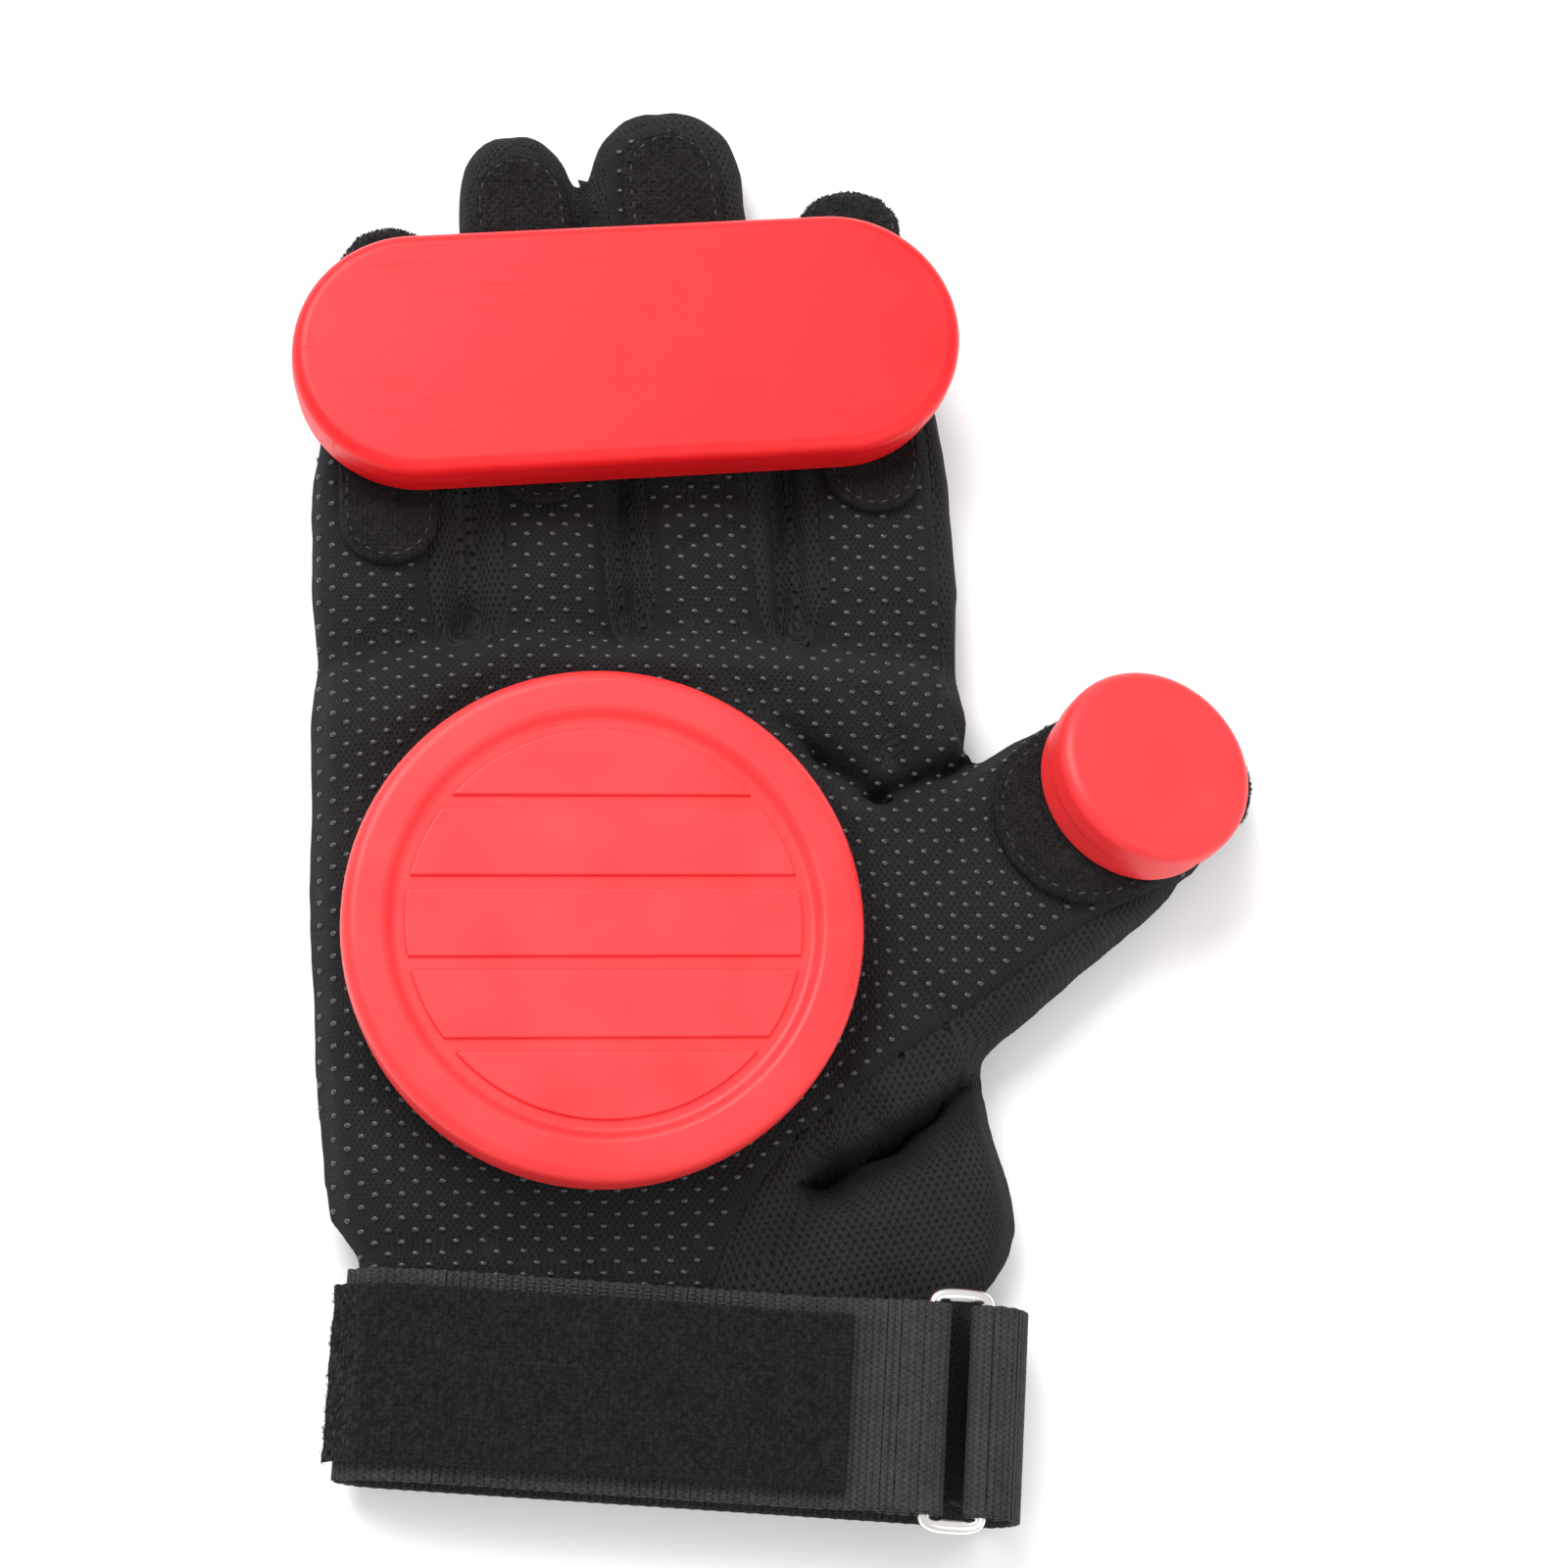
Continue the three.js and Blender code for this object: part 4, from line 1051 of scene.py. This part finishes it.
# %% [markdown]
# The finger puck is a long bar with round ends. It starts as the same turned shape, which is split
# down the middle, drawn apart and bridged. The thumb puck is the turned shape as it is, tilted with
# the thumb.

# %% Finger and thumb pucks
BAR_LENGTH = 120 * MM
BAR_WIDTH = 45 * MM
BAR_THICK = 13 * MM
BAR_TURN = math.radians(4)
THUMB_STEPS = 72
THUMB_RADIUS = 18.5 * MM
THUMB_THICK = 12 * MM
THUMB_TURN = math.radians(35)
THUMB_TILT = math.radians(18)

finger_puck = puck_body(BAR_WIDTH / 2, BAR_THICK, PUCK_STEPS)
middle = [edge for edge in finger_puck.edges if all(abs(vert.co.x) < WELD for vert in edge.verts)]
bmesh.ops.split_edges(finger_puck, edges=middle)
for vert in finger_puck.verts:
    side = sum(face.calc_center_median().x for face in vert.link_faces)
    vert.co.x += math.copysign((BAR_LENGTH - BAR_WIDTH) / 2, side)
bmesh.ops.bridge_loops(finger_puck, edges=[edge for edge in finger_puck.edges if edge.is_boundary])
bmesh.ops.recalc_face_normals(finger_puck, faces=finger_puck.faces)


def box_middle(node):
    corner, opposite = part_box(node)
    return (corner + opposite) / 2


bar_place = box_middle("finger_puck") - Vector((0, 0, BAR_THICK / 2))
bmesh.ops.transform(finger_puck, verts=finger_puck.verts,
                    matrix=Matrix.Translation(bar_place) @ Matrix.Rotation(BAR_TURN, 4, "Z"))
add_slider("finger_slider", finger_puck, "finger_puck", red_plastic)

thumb_puck = puck_body(THUMB_RADIUS, THUMB_THICK, THUMB_STEPS)
thumb_place = (Matrix.Translation(box_middle("thumb_puck")) @ Matrix.Rotation(THUMB_TURN, 4, "Z")
               @ Matrix.Rotation(THUMB_TILT, 4, "Y") @ Matrix.Translation((0, 0, -THUMB_THICK / 2)))
bmesh.ops.transform(thumb_puck, verts=thumb_puck.verts, matrix=thumb_place)
add_slider("thumb_slider", thumb_puck, "thumb_puck", rubbed_red)

# %% [markdown]
# Flat straps are modelled directly, because a remesh would melt them. Each CAD band is sliced
# across, and the slice's outline gives the line that the strap follows. A fine grid is laid along
# that line, so the woven ribs can be real relief, and Solidify gives its thickness.

# %% Strap helpers
MIDDLE_STEP = 0.5 * MM
OTHER_SIDE_STEP = 0.1 * MM


def walked(edges):
    """The vertices of one closed ring of edges, in order."""
    links = {}
    for edge in edges:
        for vert in edge.verts:
            links.setdefault(vert, []).append(edge.other_vert(vert))
    ring = [edges[0].verts[0]]
    before = None
    while True:
        after = next(vert for vert in links[ring[-1]] if vert is not before)
        if after is ring[0]:
            return ring
        before = ring[-1]
        ring.append(after)


def to_strap(place):
    away_from = place - STRAP_MIDDLE
    return Vector((away_from.dot(strap_across), away_from.z))


def from_strap(across, along, height):
    return STRAP_MIDDLE + strap_across * across + strap_along * along + Vector((0, 0, height))


def evenly_spaced(line, step):
    line = np.array(line)
    lengths = np.concatenate([[0], np.cumsum(np.linalg.norm(np.diff(line, axis=0), axis=1))])
    stops = np.linspace(0, lengths[-1], max(int(lengths[-1] / step), 2) + 1)
    return np.stack([np.interp(stops, lengths, line[:, 0]), np.interp(stops, lengths, line[:, 1])]).T


def corners_of(ring):
    """The points of a ring where it turns by more than two degrees."""
    return [place for before, place, after in zip(ring[-1:] + ring[:-1], ring, ring[1:] + ring[:1])
            if (place - before).angle(after - place) > math.radians(2)]


def middle_line(node):
    """The line down the middle of a CAD band's thickness, seen along the strap."""
    band = merged_copy(node)
    cut = bmesh.ops.bisect_plane(band, geom=everything(band), plane_co=STRAP_MIDDLE,
                                 plane_no=strap_along, clear_inner=True, clear_outer=True)["geom_cut"]
    ring = corners_of([to_strap(vert.co) for vert in
                       walked([part for part in cut if isinstance(part, bmesh.types.BMEdge)])])
    band.free()
    count = len(ring)
    headings = [(ring[(i + 1) % count] - ring[i]).normalized() for i in range(count)]
    ends = [i for i in range(count)
            if headings[i - 1].dot(headings[i]) < 0.5 and headings[i].dot(headings[(i + 1) % count]) < 0.5]
    if len(ends) != 2:
        raise ValueError(f"{node}: the slice has {len(ends)} ends")
    first, last = ends
    one_side = [np.array(ring[i % count]) for i in range(first + 1, last + 1)]
    other_side = [np.array(ring[i % count]) for i in range(last + 1, first + count + 1)]
    dense = evenly_spaced(other_side, OTHER_SIDE_STEP)
    middle = []
    for place in evenly_spaced(one_side, MIDDLE_STEP):
        nearest = dense[np.linalg.norm(dense - place, axis=1).argmin()]
        middle.append((place + nearest) / 2)
    middle = rounded_line(np.array(middle), 6)
    return middle if middle[0][0] < middle[-1][0] else middle[::-1]


def ribbon(line, width, step, rows, relief):
    """A band along a line of (across, height) points. relief(distance, along) lifts its face."""
    path = evenly_spaced(line, step)
    headings = np.gradient(path, axis=0)
    headings /= np.linalg.norm(headings, axis=1)[:, None]
    steps = len(path) - 1
    made = bmesh.new()
    cloth = made.loops.layers.uv.new("cloth")
    bmesh.ops.create_grid(made, x_segments=steps, y_segments=rows, size=0.5)
    for face in made.faces:
        for loop in face.loops:
            loop[cloth].uv = ((loop.vert.co.x + 0.5) * steps * step / MM, loop.vert.co.y * width / MM)
    for vert in made.verts:
        stop = round((vert.co.x + 0.5) * steps)
        along = vert.co.y * width
        lift = relief(stop * step, along)
        across = path[stop][0] - headings[stop][1] * lift
        height = path[stop][1] + headings[stop][0] * lift
        vert.co = from_strap(across, along, height)
    made.normal_update()
    return made


print("strap helpers ready")

# %% [markdown]
# Webbing has stout ribs across it, and each rib is a row of small knots where the warp passes over.
# Both are waves: one along the strap, and one across it that shifts by half a knot from rib to rib.

# %% Wrist tape and closing strap
WEBBING_THICK = 1.4 * MM
STRAP_WIDTH = 36 * MM
RIB_PITCH = 1.25 * MM
KNOT_PITCH = 1.1 * MM
RIB_HEIGHT = 0.4 * MM
RIBBON_STEP = 0.31 * MM
WEBBING_ROWS = 60


def ribs(distance, along):
    rib = distance / RIB_PITCH
    shift = 0.5 * (math.floor(rib) % 2)
    knots = 0.75 + 0.25 * math.cos(2 * math.pi * (along / KNOT_PITCH + shift))
    return RIB_HEIGHT * abs(math.sin(math.pi * rib)) * knots


def strap_piece(name, node, width, thick, relief, finish, slot, rows):
    band = ribbon(middle_line(node), width, RIBBON_STEP, rows, relief)
    piece = add_piece(name, band, finish, slot, node)
    wall = piece.modifiers.new("thickness", "SOLIDIFY")
    wall.thickness = thick
    wall.offset = 0


for name, node in (("wrist_webbing", "wrist_tape"), ("closing_webbing", "closing_strap")):
    strap_piece(name, node, STRAP_WIDTH, WEBBING_THICK, ribs, webbing, "webbing", WEBBING_ROWS)

# %% [markdown]
# The pile strip on the tape is felt-like too, with a wavy cut edge.

# %% Wrist pile
PILE_STRIP_WIDTH = 30 * MM
PILE_STRIP_THICK = 2.2 * MM
PILE_STRIP_ROWS = 52


def tufts(distance, along):
    place = Vector((distance, along, 0))
    return (noise.noise(place / (1.1 * MM)) * 0.22 + noise.noise(place / (5 * MM)) * 0.2) * MM


strap_piece("wrist_pile_strip", "wrist_pile", PILE_STRIP_WIDTH, PILE_STRIP_THICK, tufts, loop_pile,
            "loop_pile", PILE_STRIP_ROWS)

# %% [markdown]
# The ring is one nickel wire bent to a flat oval. It is a closed curve with a round bevel, made a
# mesh in place. Its middle comes from its node's box.

# %% Strap ring
RING_WIRE = 2.6 * MM
RING_BAR_SPACING = 9.2 * MM
RING_END_REACH = 1.8 * MM
RING_SQUARENESS = 0.7
RING_STEPS = 24

ring_middle = to_strap(box_middle("strap_ring"))
wire_points = []
for end in (1, -1):
    for step in range(RING_STEPS + 1):
        angle = math.pi * step / RING_STEPS
        bulge = math.copysign(abs(math.cos(angle)) ** RING_SQUARENESS, math.cos(angle))
        across = ring_middle.x + end * bulge * RING_BAR_SPACING / 2
        along = end * (STRAP_WIDTH / 2 + RING_END_REACH * math.sin(angle) ** RING_SQUARENESS)
        wire_points.append(from_strap(across, along, ring_middle.y))
ring_mesh = curve_mesh("ring_path", wire_points, [1] * len(wire_points), RING_WIRE / 2, closed=True)
dress("ring_wire_oval", ring_mesh, ring_wire, "ring_wire", "strap_ring")

# %% [markdown]
# Stitches hold the patches and the strap. Each one is a small grain of thread laid along its row. A
# row follows an outline and is dropped onto what it sews.

# %% Stitches
STITCH_PITCH = 2.5 * MM
STITCH_SIZE = (0.2 * MM, 0.7 * MM, 0.2 * MM)
PATCH_INSET = 1.3 * MM
LONG_ROWS, LONG_ENDS = (-16.8, 15.6, 16.3, 17), (-52, 46)
CROSS_ROWS, CROSS_ENDS = (38.6, 40.2, 44.8), (-16.5, 16.5)

grain_of_thread = bmesh.new()
bmesh.ops.create_uvsphere(grain_of_thread, u_segments=6, v_segments=5, radius=1)
bmesh.ops.rotate(grain_of_thread, verts=grain_of_thread.verts, cent=(0, 0, 0),
                 matrix=Matrix.Rotation(math.pi / 2, 3, "X"))
stitch_shape = shape_arrays(grain_of_thread)
stitches = []


def sew(line, tree, closed=False):
    """Lays stitches along plan points, on the first surface of the tree below them."""
    line = [*line, line[0]] if closed else line
    path = evenly_spaced([tuple(point) for point in line], STITCH_PITCH)
    for here, there in zip(path, path[1:]):
        between = (here + there) / 2
        point, normal, _ = dropped(tree, *between)
        if point is not None and normal.z > 0.05:
            stitches.append((point, *frame_on(normal, (*(there - here), 0)), STITCH_SIZE))


def plan_outline(node, inset):
    """The node's outline seen from above, moved inwards."""
    points = [vert.co.xy for vert in frame["nodes"][node].data.vertices]
    hull = [points[index] for index in geometry.convex_hull_2d(points)]
    ring = evenly_spaced([*hull, hull[0]], 1.0 * MM)[:-1]
    heading = np.roll(ring, -1, axis=0) - np.roll(ring, 1, axis=0)
    heading /= np.linalg.norm(heading, axis=1)[:, None]
    inwards = np.stack([-heading[:, 1], heading[:, 0]]).T
    if np.dot(inwards[0], ring.mean(axis=0) - ring[0]) < 0:
        inwards = -inwards
    return ring + inwards * inset


for node in SEWN_PILES:
    sew(list(plan_outline(node, PATCH_INSET)), patch_trees[node], closed=True)
strap_tree = tree_of("wrist_tape", "wrist_pile", "closing_strap")
for along in LONG_ROWS:
    sew([from_strap(across * MM, along * MM, 0).xy for across in LONG_ENDS], strap_tree)
for across in CROSS_ROWS:
    sew([from_strap(across * MM, along * MM, 0).xy for along in CROSS_ENDS], strap_tree)
scatter("stitches", stitch_shape, stitches, thread, "webbing")

# %% [markdown]
# Loop pile is thousands of tiny thread loops. Half a ring of ribbon stands for each, turned at
# random on the surface. They also break up the outline of the patches, as real pile does.

# %% Pile loops
LOOP_DENSITY = 3.2 / MM ** 2
LOOPS_FACE_UP = -0.2
PATCH_LOOP = 0.36 * MM
STRIP_LOOP = 0.42 * MM


def loop_shape():
    """Half a ring of flat ribbon, one unit high."""
    made = bmesh.new()
    bmesh.ops.create_circle(made, segments=8, radius=1)
    bmesh.ops.rotate(made, verts=made.verts, cent=(0, 0, 0), matrix=Matrix.Rotation(math.pi / 2, 3, "X"))
    bmesh.ops.delete(made, geom=[vert for vert in made.verts if vert.co.z < -0.5], context="VERTS")
    moved = bmesh.ops.extrude_edge_only(made, edges=made.edges[:])["geom"]
    bmesh.ops.translate(made, verts=[part for part in moved if isinstance(part, bmesh.types.BMVert)],
                        vec=(0, 0.5, 0))
    return shape_arrays(made)


def loops_on(piece, count, radius, lift=0.0):
    """Random places on a piece's outer faces, each with a turned frame for a loop."""
    mesh = piece.data
    faces = [face for face in mesh.polygons if face.normal.z > LOOPS_FACE_UP]
    areas = np.array([face.area for face in faces])
    picks = random_source.choice(len(faces), count, p=areas / areas.sum())
    found = []
    for pick, turn_by, size in zip(picks, random_source.random(count), random_source.random(count)):
        face = faces[pick]
        corners = [mesh.vertices[index].co for index in face.vertices]
        weights = random_source.random(len(corners))
        weights /= weights.sum()
        place = sum((corner * weight for corner, weight in zip(corners, weights)), face.normal * lift)
        heading = Vector((math.cos(math.tau * turn_by), math.sin(math.tau * turn_by), 0.3))
        scale = radius * (0.6 + 0.7 * size)
        found.append((place, *frame_on(face.normal, heading), (scale, scale * 0.5, scale)))
    return found


loop = loop_shape()
for node in SEWN_PILES:
    patch = bpy.data.objects[patch_name(node)]
    area = sum(face.area for face in patch.data.polygons if face.normal.z > LOOPS_FACE_UP)
    scatter(f"{patch.name}_loops", loop, loops_on(patch, int(area * LOOP_DENSITY), PATCH_LOOP),
            loop_pile, "loop_pile")
wrist_strip = bpy.data.objects["wrist_pile_strip"]
strip_count = int(sum(face.area for face in wrist_strip.data.polygons) * LOOP_DENSITY)
scatter("wrist_pile_loops", loop, loops_on(wrist_strip, strip_count, STRIP_LOOP, PILE_STRIP_THICK / 2),
        loop_pile, "loop_pile")
print("loops laid")
